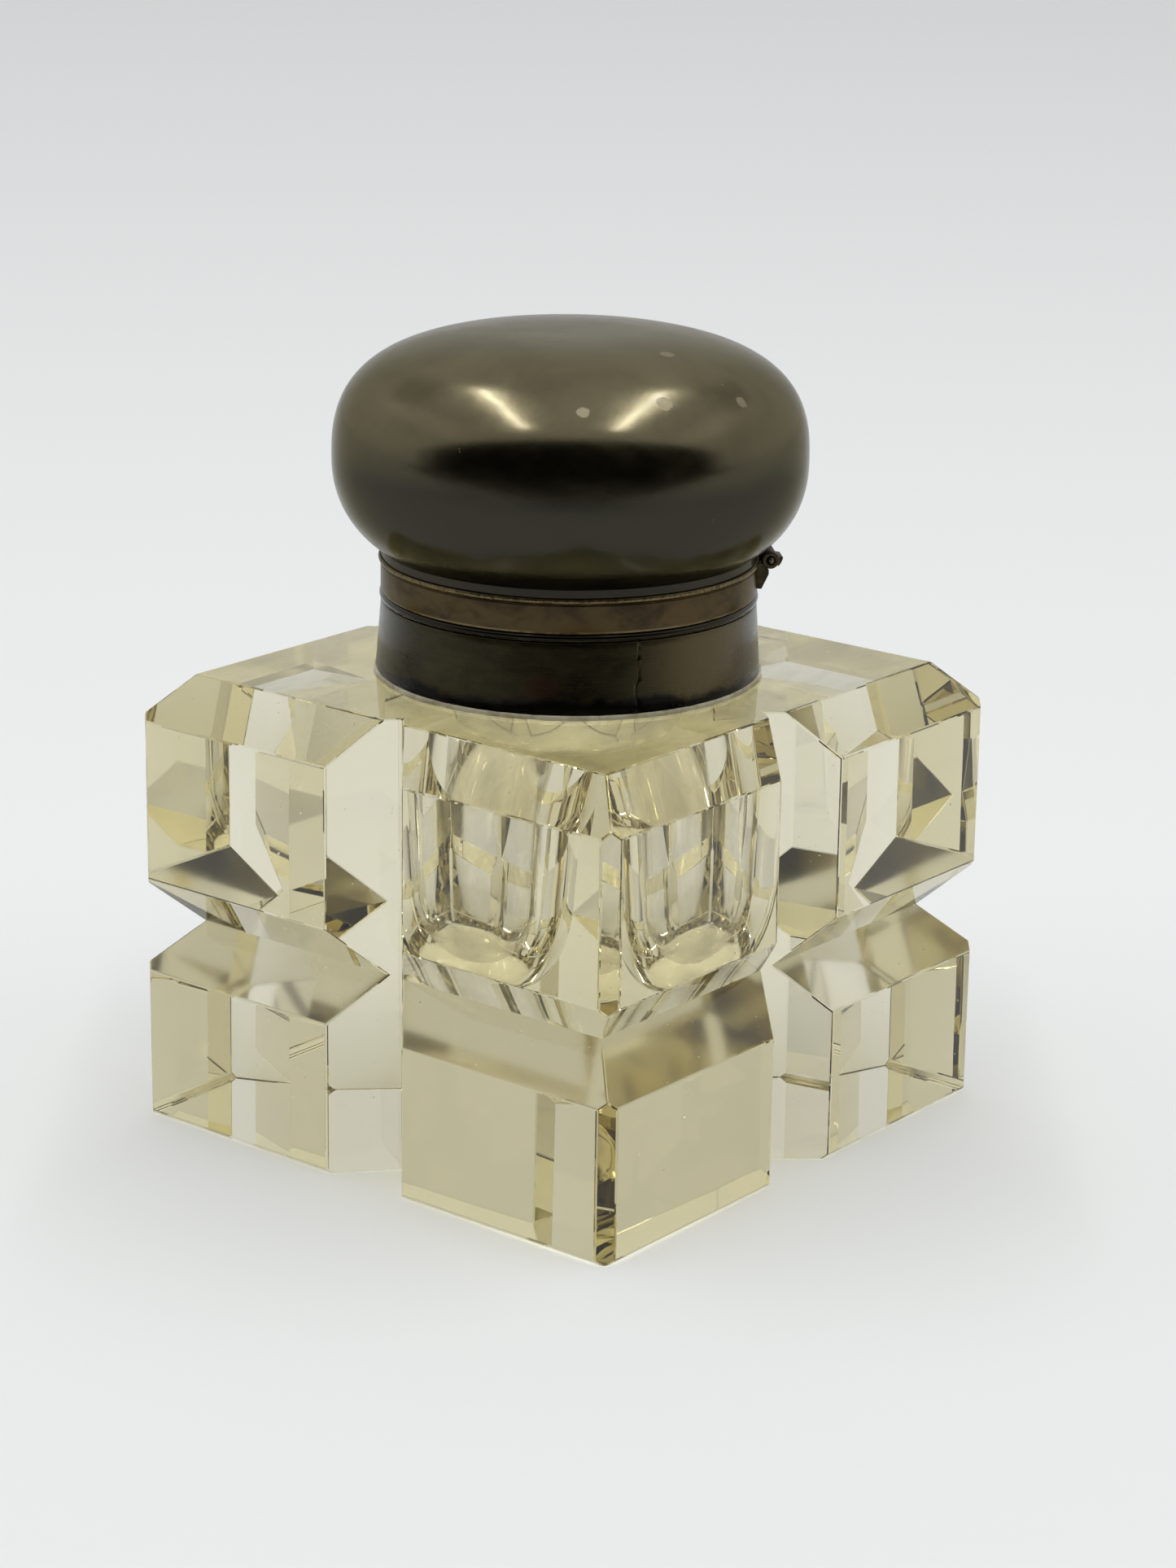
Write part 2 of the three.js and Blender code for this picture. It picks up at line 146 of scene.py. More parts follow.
class CollarSettings(bpy.types.PropertyGroup):
    """The brass collar, its mouth ring and its crack."""

    collar_top: length("Collar radius", "Radius at the collar's top", RIM_RADIUS)
    wall: length("Collar wall", "Thickness of the band", 0.9 * MM)
    lip_radius: length("Lip radius", "Inside of the lip that lines the mouth", 9.5 * MM)
    lip_wall: length("Lip wall", "Thickness of the lip", 0.8 * MM)
    crack_direction: FloatProperty(
        name="Crack direction",
        description="Where the crack is round the collar, from +X",
        default=math.radians(-30),
        subtype="ANGLE",
    )


class LidSettings(bpy.types.PropertyGroup):
    """The flattened-ball lid, its patina, and the painted shade and painted highlight on it."""

    collar_top: length("Neck radius", "Radius of the dome's neck and the rim band", RIM_RADIUS)
    wall: length("Lid wall", "Thickness of the spun shell", 0.9 * MM)
    equator: length("Equator height", "The dome's widest line above the seam", 15.45 * MM)
    belly_drop: length("Belly drop", "How far the lower curve would go down", 13.3 * MM)
    belly_across: share("Belly squareness across", "2 is a plain ellipse", 3.75, 8)
    belly_down: share("Belly squareness down", "2 is a plain ellipse", 2.16, 8)
    crown_across: share("Crown squareness across", "2 is a plain ellipse", 3.14, 8)
    crown_up: share("Crown squareness up", "2 is a plain ellipse", 2.66, 8)
    bead: length("Bead radius", "Half the height of the bead under the dome", 0.35 * MM)
    leaf_inside: length("Leaf inside", "Inner face of the hinge leaf from the middle", 20.45 * MM)
    slot_clearance: length("Slot clearance", "Room behind the leaf in the lid", 0.4 * MM)
    slot_half: length("Slot half width", "Half the width of the leaf's slot", 1.7 * MM)
    patina: colour("Patina", "Main colour of the lid's patina", (0.148, 0.127, 0.072))
    patina_brown: colour("Brown patina", "Browner clouds", (0.108, 0.09, 0.05))
    patina_green: colour("Green patina", "Greener mottling", (0.125, 0.113, 0.062))
    # Painted shade: the dome's lower half is darkened with this colour, standing in for the darker
    # surroundings that it reflects.
    lower_dome_painted_shade: colour("Low patina", "Darker, greyer patina on the lower half", (0.036, 0.033, 0.023))
    # Also used for a painted highlight: a bright line along the foot of the rim band.
    worn_and_highlight: colour("Worn brass", "Brass where the patina is rubbed away", (0.42, 0.33, 0.17))


class HingeSettings(bpy.types.PropertyGroup):
    """The small hinge behind the lid."""

    knuckle_radius: length("Knuckle radius", "Outside of the knuckles", 1.0 * MM)
    pin_radius: length("Pin radius", "Radius of the pin", 0.4 * MM)
    soft_edge: length("Edge rounding", "Rounding of the filed edges", 0.09 * MM)
    solder_gap: length("Solder gap", "Solder between the bearers and the lid's rim", 0.15 * MM)
    pin_clearance: length("Pin clearance", "Room round the pin in the lid's knuckles", 0.08 * MM)


class StageSettings(bpy.types.PropertyGroup):
    """The floor, the lights and the camera."""

    azimuth: FloatProperty(
        name="Azimuth",
        description="Camera's direction from -Y",
        default=math.radians(38.64),
        subtype="ANGLE",
    )
    elevation: FloatProperty(
        name="Elevation", description="Camera's height angle", default=math.radians(17.03), subtype="ANGLE"
    )
    roll: FloatProperty(
        name="Roll", description="Camera's turn about its view", default=math.radians(0.85), subtype="ANGLE"
    )
    distance: length("Distance", "Camera to its target", 455.2 * MM)
    lens: FloatProperty(name="Lens", description="Focal length in millimetres", default=89.58, min=1)
    target: FloatVectorProperty(
        name="Target",
        description="Point that the camera looks at",
        default=(1.98 * MM, 1.59 * MM, 39.54 * MM),
        size=3,
        subtype="TRANSLATION",
    )
    floor_size: length("Floor size", "Half the width of the floor", 8.0)
    # Painted light: the floor's colour grades from the near colour to the brighter far one, standing in for
    # how light falls across it.
    floor: colour("Floor", "Colour of the floor near the object", (0.785, 0.78, 0.757))
    far_floor_painted_light: colour("Floor far away", "Colour of the floor in the distance", (0.9, 0.9, 0.89))
    sky: colour("Sky", "Colour of the tent", (0.97, 0.985, 1.0))
    sky_strength: share("Sky strength", "Brightness of the tent", 1.08, 10)
    strip_height: length("Strip height", "Height of the strip lights", 0.75)
    strip_side: share("Strip side", "Sideways place, as a share of the height", 0.32, 2)
    strip_forward: FloatProperty(
        name="Strip forward", description="Place towards the camera, as a share of the height", default=0.02
    )
    strip_width: share("Strip width", "Width, as a share of the height", 0.04, 2)
    strip_length: share("Strip length", "Length, as a share of the height", 0.95, 2)
    strip_power: share("Strip power", "Power of each strip in watts", 1.6, 100)


# Node building


class Number:
    """A number socket that takes part in Python arithmetic."""

    def __init__(self, builder, socket):
        self.builder = builder
        self.socket = socket

    def calculate(self, operation, first, second):
        settings = {"operation": operation}
        return self.builder.number("ShaderNodeMath", settings, {0: first, 1: second})

    def __add__(self, other):
        return self.calculate("ADD", self, other)

    def __sub__(self, other):
        return self.calculate("SUBTRACT", self, other)

    def __rsub__(self, other):
        return self.calculate("SUBTRACT", other, self)

    def __mul__(self, other):
        return self.calculate("MULTIPLY", self, other)

    def __truediv__(self, other):
        return self.calculate("DIVIDE", self, other)

    def __rtruediv__(self, other):
        return self.calculate("DIVIDE", other, self)

    __radd__ = __add__
    __rmul__ = __mul__

    def highest(self, other):
        return self.calculate("MAXIMUM", self, other)

    def distance_from(self, value):
        difference = self.calculate("SUBTRACT", self, value)
        return self.calculate("ABSOLUTE", difference, 0.0)

    def rise(self, low, high):
        """0 below low, 1 above high, and smooth between them; high may be the lower one."""
        return self.builder.number(
            "ShaderNodeMapRange",
            {"interpolation_type": "SMOOTHSTEP"},
            {"Value": self, "From Min": low, "From Max": high},
        )


class Builder:
    """Adds nodes to a shader or geometry tree."""

    def __init__(self, tree):
        self.tree = tree

    def add(self, kind, settings=None, values=None):
        """A new node; its settings come first, then a value or link for each named socket."""
        node = self.tree.nodes.new(kind)
        for key, value in (settings or {}).items():
            setattr(node, key, value)
        for key, value in (values or {}).items():
            self.feed(self.find(node.inputs, key), value)
        return node

    def find(self, sockets, key):
        """A socket by its place, its identifier or its name."""
        if isinstance(key, int):
            return sockets[key]
        for socket in sockets:
            if socket.identifier == key:
                return socket
        return sockets[key]

    def feed(self, socket, value):
        """Links or sets one input; a list is several links into one socket."""
        for one in value if isinstance(value, list) else [value]:
            if isinstance(one, Number):
                one = one.socket
            if isinstance(one, bpy.types.NodeSocket):
                self.tree.links.new(one, socket)
            else:
                socket.default_value = (*one, 1.0) if is_colour(socket, one) else one

    def output(self, kind, settings=None, values=None, name=0):
        return self.find(self.add(kind, settings, values).outputs, name)

    def number(self, kind, settings=None, values=None, name=0):
        return Number(self, self.output(kind, settings, values, name))


def is_colour(socket, value):
    return socket.type == "RGBA" and hasattr(value, "__len__") and len(value) == 3


class Finish(Builder):
    """A material's nodes, with the patterns that the finishes share."""

    def __init__(self, name):
        self.material = bpy.data.materials.new(name)
        self.material.use_nodes = True
        super().__init__(self.material.node_tree)
        self.tree.nodes.clear()
        self.place = self.output("ShaderNodeTexCoord", name="Object")
        self.end = self.add("ShaderNodeOutputMaterial")

    def height(self):
        """The piece's own Z, in millimetres."""
        values = {0: self.place, "Scale": 1 / MM}
        scaled = self.output("ShaderNodeVectorMath", {"operation": "SCALE"}, values)
        return self.number("ShaderNodeSeparateXYZ", None, {0: scaled}, "Z")

    def distance(self, place):
        """How far each point is from a place, both in millimetres."""
        centre = tuple(value * MM for value in place)
        values = {0: self.place, 1: centre}
        return self.number("ShaderNodeVectorMath", {"operation": "DISTANCE"}, values, "Value") / MM

    def stretched(self, scale, turn=(0, 0, 0), shift=(0, 0, 0)):
        values = {"Vector": self.place, "Scale": scale, "Rotation": turn, "Location": shift}
        return self.output("ShaderNodeMapping", None, values)

    def noise(self, size, detail=3.0, roughness=0.5, vector=None, distortion=0.0):
        """Noise whose lumps are about size across."""
        values = {
            "Vector": vector or self.place,
            "Scale": 1.0 / size,
            "Detail": detail,
            "Roughness": roughness,
            "Distortion": distortion,
        }
        return self.number("ShaderNodeTexNoise", None, values, "Fac")

    def mix(self, factor, first, second):
        settings = {"data_type": "RGBA", "clamp_factor": True}
        values = {"Factor_Float": factor, "A_Color": first, "B_Color": second}
        return self.output("ShaderNodeMix", settings, values, "Result_Color")

    def bump(self, height, depth, strength=1.0, normal=None):
        values = {"Height": height, "Distance": depth, "Strength": strength}
        if normal:
            values["Normal"] = normal
        return self.output("ShaderNodeBump", None, values)

    def surface(self, shader, volume=None):
        self.feed(self.end.inputs["Surface"], shader)
        if volume:
            self.feed(self.end.inputs["Volume"], volume)
        return self.material

    def principled(self, **values):
        named = {key.replace("_", " ").title().replace("Ior", "IOR"): value for key, value in values.items()}
        return self.output("ShaderNodeBsdfPrincipled", None, named)


class Shape(Builder):
    """A Geometry Nodes tree with named inputs; its result is kept as a plain mesh."""

    def __init__(self, name):
        super().__init__(bpy.data.node_groups.new(name, "GeometryNodeTree"))
        self.tree.interface.new_socket("Geometry", in_out="OUTPUT", socket_type="NodeSocketGeometry")
        self.start = self.add("NodeGroupInput")
        self.end = self.add("NodeGroupOutput")
        self.sizes = {}

    def given(self, name, value):
        """A named input, and the value that it gets on the modifier."""
        socket = self.tree.interface.new_socket(name, in_out="INPUT", socket_type="NodeSocketFloat")
        self.sizes[socket.identifier] = value
        return Number(self, self.start.outputs[name])

    def vector(self, x=0.0, y=0.0, z=0.0):
        return self.output("ShaderNodeCombineXYZ", None, {0: x, 1: y, 2: z})

    def moved(self, geometry, move=(0, 0, 0), turn=(0, 0, 0), scale=(1, 1, 1)):
        values = {"Geometry": geometry, "Translation": move, "Rotation": turn, "Scale": scale}
        return self.output("GeometryNodeTransform", None, values)

    def round_four(self, cutter, across, deep, start=0.0):
        """Four copies of a cutter, each turned to face out from its place round the block."""
        circle = self.output("GeometryNodeMeshCircle", None, {"Vertices": 4, "Radius": 1.0}, "Mesh")
        places = self.moved(self.moved(circle, turn=(0, 0, start)), scale=self.vector(across, deep, 1.0))
        index = self.number("GeometryNodeInputIndex")
        facing = self.vector(z=index * (math.pi / 2) + start)
        values = {"Points": places, "Instance": cutter, "Rotation": facing}
        return self.output("GeometryNodeInstanceOnPoints", None, values)

    def made(self, geometry, name, material):
        """The tree's result as an object with a plain mesh."""
        solid = self.output("GeometryNodeRealizeInstances", None, {"Geometry": geometry})
        coloured = self.output("GeometryNodeSetMaterial", None, {"Geometry": solid, "Material": material})
        self.feed(self.end.inputs["Geometry"], coloured)
        piece = new_object(name, bpy.data.meshes.new(name))
        modifier = piece.modifiers.new(self.tree.name, "NODES")
        modifier.node_group = self.tree
        for identifier, value in self.sizes.items():
            modifier[identifier] = value
        return settled(piece)


# Mesh building


def new_object(name, mesh):
    piece = bpy.data.objects.new(name, mesh)
    bpy.context.scene.collection.objects.link(piece)
    return piece


def settled(piece):
    """The piece with its modifiers applied and removed."""
    bpy.context.view_layer.update()
    evaluated = piece.evaluated_get(bpy.context.evaluated_depsgraph_get())
    mesh = bpy.data.meshes.new_from_object(evaluated)
    piece.modifiers.clear()
    piece.data = mesh
    mesh.name = piece.name
    return piece


def arc(centre, radii, start, end, steps):
    """Points on an arc of an ellipse, from one angle to the other, in degrees."""
    angles = [math.radians(start + (end - start) * i / steps) for i in range(steps + 1)]
    return [(centre[0] + radii[0] * math.cos(a), centre[1] + radii[1] * math.sin(a)) for a in angles]


def rounded(outline, radius, steps=4):
    """A closed outline with each corner rounded, by less where its sides are short."""
    points = []
    for i, corner in enumerate(outline):
        corner = Vector(corner)
        before = Vector(outline[i - 1]) - corner
        after = Vector(outline[(i + 1) % len(outline)]) - corner
        half = before.angle(after) / 2
        along = min(radius / math.tan(half), 0.45 * before.length, 0.45 * after.length)
        start = corner + before.normalized() * along
        end = corner + after.normalized() * along
        for step in range(steps + 1):
            t = step / steps
            points.append(start * (1 - t) ** 2 + corner * 2 * t * (1 - t) + end * t**2)
    return [tuple(point) for point in points]


def turned(name, profile, steps=192, closed=True, ripple=None):
    """A profile of (radius, height), anticlockwise, turned about the Z axis.

    An open profile starts and ends on the axis. Ripple moves a point in or out by its angle and height.
    """
    bm = bmesh.new()
    rings = []
    for radius, height in profile:
        if radius < 1e-7:
            rings.append([bm.verts.new((0, 0, height))] * steps)
            continue
        ring = []
        for step in range(steps):
            angle = 2 * math.pi * step / steps
            out = radius + (ripple(angle, radius, height) if ripple else 0)
            ring.append(bm.verts.new((out * math.cos(angle), out * math.sin(angle), height)))
        rings.append(ring)
    pairs = list(zip(rings, rings[1:] + rings[:1])) if closed else list(zip(rings, rings[1:]))
    for lower, upper in pairs:
        for step in range(steps):
            after = (step + 1) % steps
            corners = [lower[step], lower[after], upper[after], upper[step]]
            corners = list(dict.fromkeys(corners))
            if len(corners) > 2:
                bm.faces.new(corners)
    return finished(name, bm)


def finished(name, bm, smooth=30):
    """A bmesh as an object, smooth except at edges sharper than an angle."""
    bmesh.ops.recalc_face_normals(bm, faces=bm.faces)
    mesh = bpy.data.meshes.new(name)
    bm.to_mesh(mesh)
    bm.free()
    mesh.shade_smooth()
    mesh.set_sharp_from_angle(angle=math.radians(smooth))
    return new_object(name, mesh)


def flattened(bm, apart, angle):
    """Joins vertices that nearly meet, and the faces that lie flat to each other within degrees."""
    bmesh.ops.remove_doubles(bm, verts=bm.verts, dist=apart)
    bmesh.ops.dissolve_limit(bm, angle_limit=math.radians(angle), verts=bm.verts, edges=bm.edges)


def softened(bm, width, segments=2, sharpest=20):
    """Rounds the edges that stick out and are sharper than an angle in degrees."""
    least = math.radians(sharpest)
    edges = [e for e in bm.edges if e.is_manifold and e.is_convex and e.calc_face_angle() > least]
    bmesh.ops.bevel(
        bm,
        geom=edges,
        offset=width,
        offset_type="OFFSET",
        segments=segments,
        profile=0.5,
        affect="EDGES",
        clamp_overlap=True,
    )


def softened_copy(node, name, width):
    """A CAD node's mesh with its loose triangles joined and its outer edges rounded."""
    bm = bmesh.new()
    bm.from_mesh(frame["nodes"][node].data)
    flattened(bm, 0.002 * MM, 1)
    softened(bm, width)
    return finished(name, bm)


def combined(piece, other, operation):
    """The piece joined with, or cut by, another, which is then gone."""
    modifier = piece.modifiers.new(operation, "BOOLEAN")
    modifier.operation = operation
    modifier.object = other
    modifier.solver = "EXACT"
    settled(piece)
    bpy.data.objects.remove(other)
    return piece


def dressed(piece, material, body, slot, *nodes):
    """Gives a finished piece its material and body, and lets it stand for its CAD nodes. The slot is not
    used.
    """
    piece.data.materials.clear()
    piece.data.materials.append(material)
    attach(piece, body)
    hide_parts(*nodes)
    return piece


# Finishes


def glass_finish(settings):
    """Straw glass with smears, dust and nicks, dried ink in the well and a ground skin below the waist."""
    finish = Finish("Straw glass")
    top = BLOCK_TOP / MM
    floor_height = settings.well_floor / MM
    below_waist = settings.waist_height / MM + 6.25
    shoulder = top - settings.shoulder_drop / MM
    haze = finish.noise(9 * MM, 4, 0.6).rise(0.45, 0.75)
    along_edges = finish.stretched((1, 0.25, 1), (0.4, 0.2, 0.7))
    smears = finish.noise(1.6 * MM, 3, 0.6, vector=along_edges)
    dust = finish.noise(0.5 * MM, 2, 0.5).rise(0.74, 0.8)
    nicks = finish.noise(1.1 * MM, 2, 0.5).rise(0.77, 0.8)
    facing = finish.output("ShaderNodeTexCoord", name="Normal")
    slant = finish.number("ShaderNodeSeparateXYZ", None, {0: facing}, "Z")
    z = finish.height()
    ground = slant.rise(0.4, 0.5) * slant.rise(0.95, 0.85) * z.rise(below_waist, below_waist - 1)
    flat = finish.stretched((1, 1, 0))
    reach = finish.number("ShaderNodeVectorMath", {"operation": "LENGTH"}, {0: flat}, "Value")
    wall = reach.rise(settings.well_top_radius + 0.4 * MM, settings.well_top_radius + 0.2 * MM)
    wall = wall * z.rise(floor_height - 2, floor_height - 1) * z.rise(top + 4.4, top + 3.4)
    upright = finish.stretched((1, 1, 0.5), (0.1, 0.6, 0.3))
    residue = finish.noise(5 * MM, 5, 0.65, vector=upright, distortion=0.6)
    settled_low = z.rise(floor_height + 10, floor_height + 1)
    shoulder_film = z.rise(shoulder - 7.6, shoulder - 2.6) * 0.35
    cloudy = wall * (settled_low * 0.5 + shoulder_film + residue.rise(0.42, 0.62) * 0.35)
    dusty = slant.rise(0.9, 0.97) * z.rise(top - 3.6, top - 1.6) * (smears.rise(0.4, 0.7) * 0.5 + 0.3)
    skin = haze * smears.rise(0.4, 0.8) * 0.15 + 0.06
    film = cloudy + dusty + ground * 0.35 + skin
    roughness = haze * smears.rise(0.5, 0.8) * 0.035 + ground * 0.12 + dust * 0.25 + nicks * 0.35
    etched = settled_low * 0.5 + z.rise(shoulder - 6.6, shoulder - 1.6) * 0.4
    roughness = roughness + wall * residue.rise(0.45, 0.62) * etched * 0.22
    waves = finish.noise(14 * MM, 1, 0.4)
    normal = finish.bump(waves, 0.05 * MM, 0.3)
    normal = finish.bump(dust + nicks, 0.04 * MM, 0.6, normal)
    glass = finish.principled(
        base_color=finish.mix(film, (1.0, 1.0, 1.0), (0.70, 0.675, 0.62)),
        roughness=roughness,
        ior=settings.refraction,
        transmission_weight=1.0,
        normal=normal,
    )
    clear = finish.output("ShaderNodeBsdfTransparent", None, {"Color": (0.97, 0.97, 0.95)})
    shadow = finish.output("ShaderNodeLightPath", name="Is Shadow Ray")
    body = finish.output("ShaderNodeMixShader", None, {0: shadow, 1: glass, 2: clear})
    tint = {"Color": tuple(settings.tint), "Density": settings.tint_density}
    volume = finish.output("ShaderNodeVolumeAbsorption", None, tint)
    return finish.surface(body, volume)


def cement_finish():
    """Grainy, stained plaster."""
    finish = Finish("Plaster cement")
    grain = finish.noise(0.5 * MM, 4, 0.7)
    patches = finish.noise(4 * MM, 3, 0.6)
    stain = patches.rise(0.42, 0.62)
    base = finish.mix(stain, (0.62, 0.57, 0.42), (0.40, 0.35, 0.22))
    base = finish.mix(grain.rise(0.58, 0.7) * 0.5, base, (0.20, 0.17, 0.11))
    surface = finish.principled(
        base_color=base,
        roughness=grain * 0.2 + 0.75,
        normal=finish.bump(grain, 0.15 * MM, 0.8),
    )
    return finish.surface(surface)


def lid_finish(settings):
    """Dark bronze patina on spun brass, rubbed a little brighter on the rim's bead, with painted shade on
    the dome's lower half and a painted highlight along the foot of the rim band.
    """
    finish = Finish("Patinated lid brass")
    z = finish.height()
    equator = (SEAM + settings.equator) / MM
    rim_top = RIM_TOP / MM
    clouds = finish.noise(13 * MM, 4, 0.55, distortion=0.4)
    mottle = finish.noise(2.2 * MM, 5, 0.65)
    fine = finish.noise(0.45 * MM, 4, 0.7)
    specks = finish.noise(0.9 * MM, 2, 0.5, vector=finish.stretched((1, 1, 1), shift=(0.31, 0.12, 0.05)))
    base = finish.mix(clouds.rise(0.35, 0.68), tuple(settings.patina), tuple(settings.patina_brown))
    base = finish.mix(mottle.rise(0.5, 0.72) * 0.45, base, tuple(settings.patina_green))
    # Painted shade: below the equator the dome's colour turns darker and greyer, standing in for the shaded
    # surroundings that it reflects.
    low = (z + clouds * 3).rise(equator + 7.5, equator + 1.0)
    base = finish.mix(low, base, tuple(settings.lower_dome_painted_shade))
    base = finish.mix(fine.rise(0.56, 0.75) * 0.3, base, (0.05, 0.042, 0.028))
    rim = z.rise(rim_top + 0.25, rim_top - 0.25)
    streaks = finish.noise(4 * MM, 5, 0.6, vector=finish.stretched((1, 1, 1.6)), distortion=0.4)
    band = finish.mix(streaks.rise(0.38, 0.68), (0.074, 0.05, 0.019), (0.034, 0.022, 0.009))
    base = finish.mix(rim, base, band)
    bead = z.distance_from(rim_top - settings.bead / MM).rise(0.3, 0.1)
    base = finish.mix(bead * fine.rise(0.35, 0.6) * 0.35, base, tuple(settings.worn_and_highlight))
    # Painted highlight: a thin bright brass line just above the seam, at the foot of the rim band.
    foot = z.distance_from(SEAM / MM + 0.12).rise(0.22, 0.08)
    base = finish.mix(foot * streaks.rise(0.35, 0.5) * 0.3, base, tuple(settings.worn_and_highlight))
    dots = specks.rise(0.775, 0.8) * (1 - rim) * 0.6
    for place, size in CROWN_SPOTS:
        edge = finish.distance(place) + fine * 0.7
        dots = dots + edge.rise(size * 1.3 + 0.35, size * 0.9 + 0.35) * mottle.rise(0.2, 0.5) * 0.9
    base = finish.mix(dots * 0.6, base, (0.3, 0.26, 0.17))
    smudge = finish.noise(6 * MM, 4, 0.6, vector=finish.stretched((1, 1, 2.2), shift=(0.2, 0.4, 0.1)))
    throat = z.rise(rim_top + 4.5, rim_top + 0.5)
    roughness = mottle * 0.07 + smudge.rise(0.42, 0.7) * 0.06 + dots * 0.3 + throat * 0.16 + 0.16
    dents = finish.noise(7 * MM, 2, 0.5)
    normal = finish.bump(dents, 0.12 * MM, 0.35)
    normal = finish.bump(fine + dots, 0.01 * MM, 0.5, normal)
    surface = finish.principled(
        base_color=base,
        metallic=1.0,
        roughness=roughness,
        specular_tint=(0.6, 0.58, 0.5),
        coat_weight=0.2,
        coat_roughness=0.12,
        normal=normal,
    )
    return finish.surface(surface)


def collar_finish():
    """Nearly black, streaky patina with a reddish patch, a stained foot and one rubbed side."""
    finish = Finish("Patinated collar brass")
    z = finish.height()
    streaks = finish.noise(5 * MM, 5, 0.6, vector=finish.stretched((1, 1, 2)), distortion=0.5)
    brushed = finish.noise(0.7 * MM, 4, 0.6, vector=finish.stretched((0.2, 0.2, 3)))
    clouds = finish.noise(7 * MM, 4, 0.6)
    base = finish.mix(streaks.rise(0.3, 0.75), (0.024, 0.022, 0.010), (0.042, 0.036, 0.017))
    base = finish.mix(brushed.rise(0.5, 0.78) * 0.2, base, (0.085, 0.07, 0.038))
    rubbed = finish.distance(RUBBED_PLACE).rise(13, 3)
    base = finish.mix(rubbed * 0.7, base, (0.115, 0.088, 0.044))
    red = finish.distance(RED_PATCH).rise(2.6, 0.8) * clouds.rise(0.3, 0.5)
    base = finish.mix(red * 0.6, base, (0.05, 0.018, 0.013))
    rising = clouds * 4.4 + COLLAR_FOOT / MM - 1.0
    stain = (z - rising).rise(0.7, -0.3)
    base = finish.mix(stain * 0.93, base, (0.006, 0.006, 0.008))
    lip = z.rise(SEAT_UNDERSIDE / MM - 0.05, SEAT_UNDERSIDE / MM + 0.1)
    base = finish.mix(lip * 0.85, base, (0.014, 0.012, 0.009))
    fine = finish.noise(0.4 * MM, 4, 0.7)
    roughness = streaks * 0.22 + brushed * 0.12 + 0.12 - lip * 0.08
    normal = finish.bump(brushed + fine * 0.4, 0.012 * MM, 0.5)
    surface = finish.principled(
        base_color=base,
        metallic=1.0,
        roughness=roughness,
        coat_weight=0.1,
        coat_roughness=0.1,
        normal=normal,
    )
    return finish.surface(surface)


def plain_brass(name, light, dark, rough):
    """Dull brass that hands and weather don't reach."""
    finish = Finish(name)
    clouds = finish.noise(5 * MM, 4, 0.6)
    fine = finish.noise(0.6 * MM, 5, 0.7)
    base = finish.mix(clouds.rise(0.35, 0.68), light, dark)
    base = finish.mix(fine.rise(0.55, 0.72) * 0.5, base, tuple(c * 0.35 for c in dark))
    surface = finish.principled(
        base_color=base,
        metallic=1.0,
        roughness=fine * 0.2 + clouds * 0.15 + rough,
        normal=finish.bump(fine, 0.02 * MM, 0.5),
    )
    return finish.surface(surface)


def floor_finish(settings):
    """Pale paper, painted darker near the object and brighter far away as painted light, which turns dark
    out in front, past the tent's opening, for all but camera rays.
    """
    finish = Finish("Pale paper")
    fibres = finish.noise(1.5 * MM, 4, 0.6)
    away = finish.number("ShaderNodeVectorMath", {"operation": "LENGTH"}, {0: finish.place}, "Value")
    # Painted light: the floor turns from the darker near colour to the brighter far colour with distance
    # from the object.
    base = finish.mix(away.rise(0.05, 1.1), tuple(settings.floor), tuple(settings.far_floor_painted_light))
    base = finish.mix(fibres * 0.04, base, (0.6, 0.6, 0.6))
    values = {0: finish.place, 1: aimed(settings.azimuth, 0)}
    front = finish.number("ShaderNodeVectorMath", {"operation": "DOT_PRODUCT"}, values, "Value")
    seen = finish.number("ShaderNodeLightPath", name="Is Camera Ray")
    outside = front.rise(0.36, 0.46) * (1 - seen)
    base = finish.mix(outside, base, (0.02, 0.02, 0.02))
    surface = finish.principled(base_color=base, roughness=0.9, specular_ior_level=0.2)
    return finish.surface(surface)


# The glass and its cement


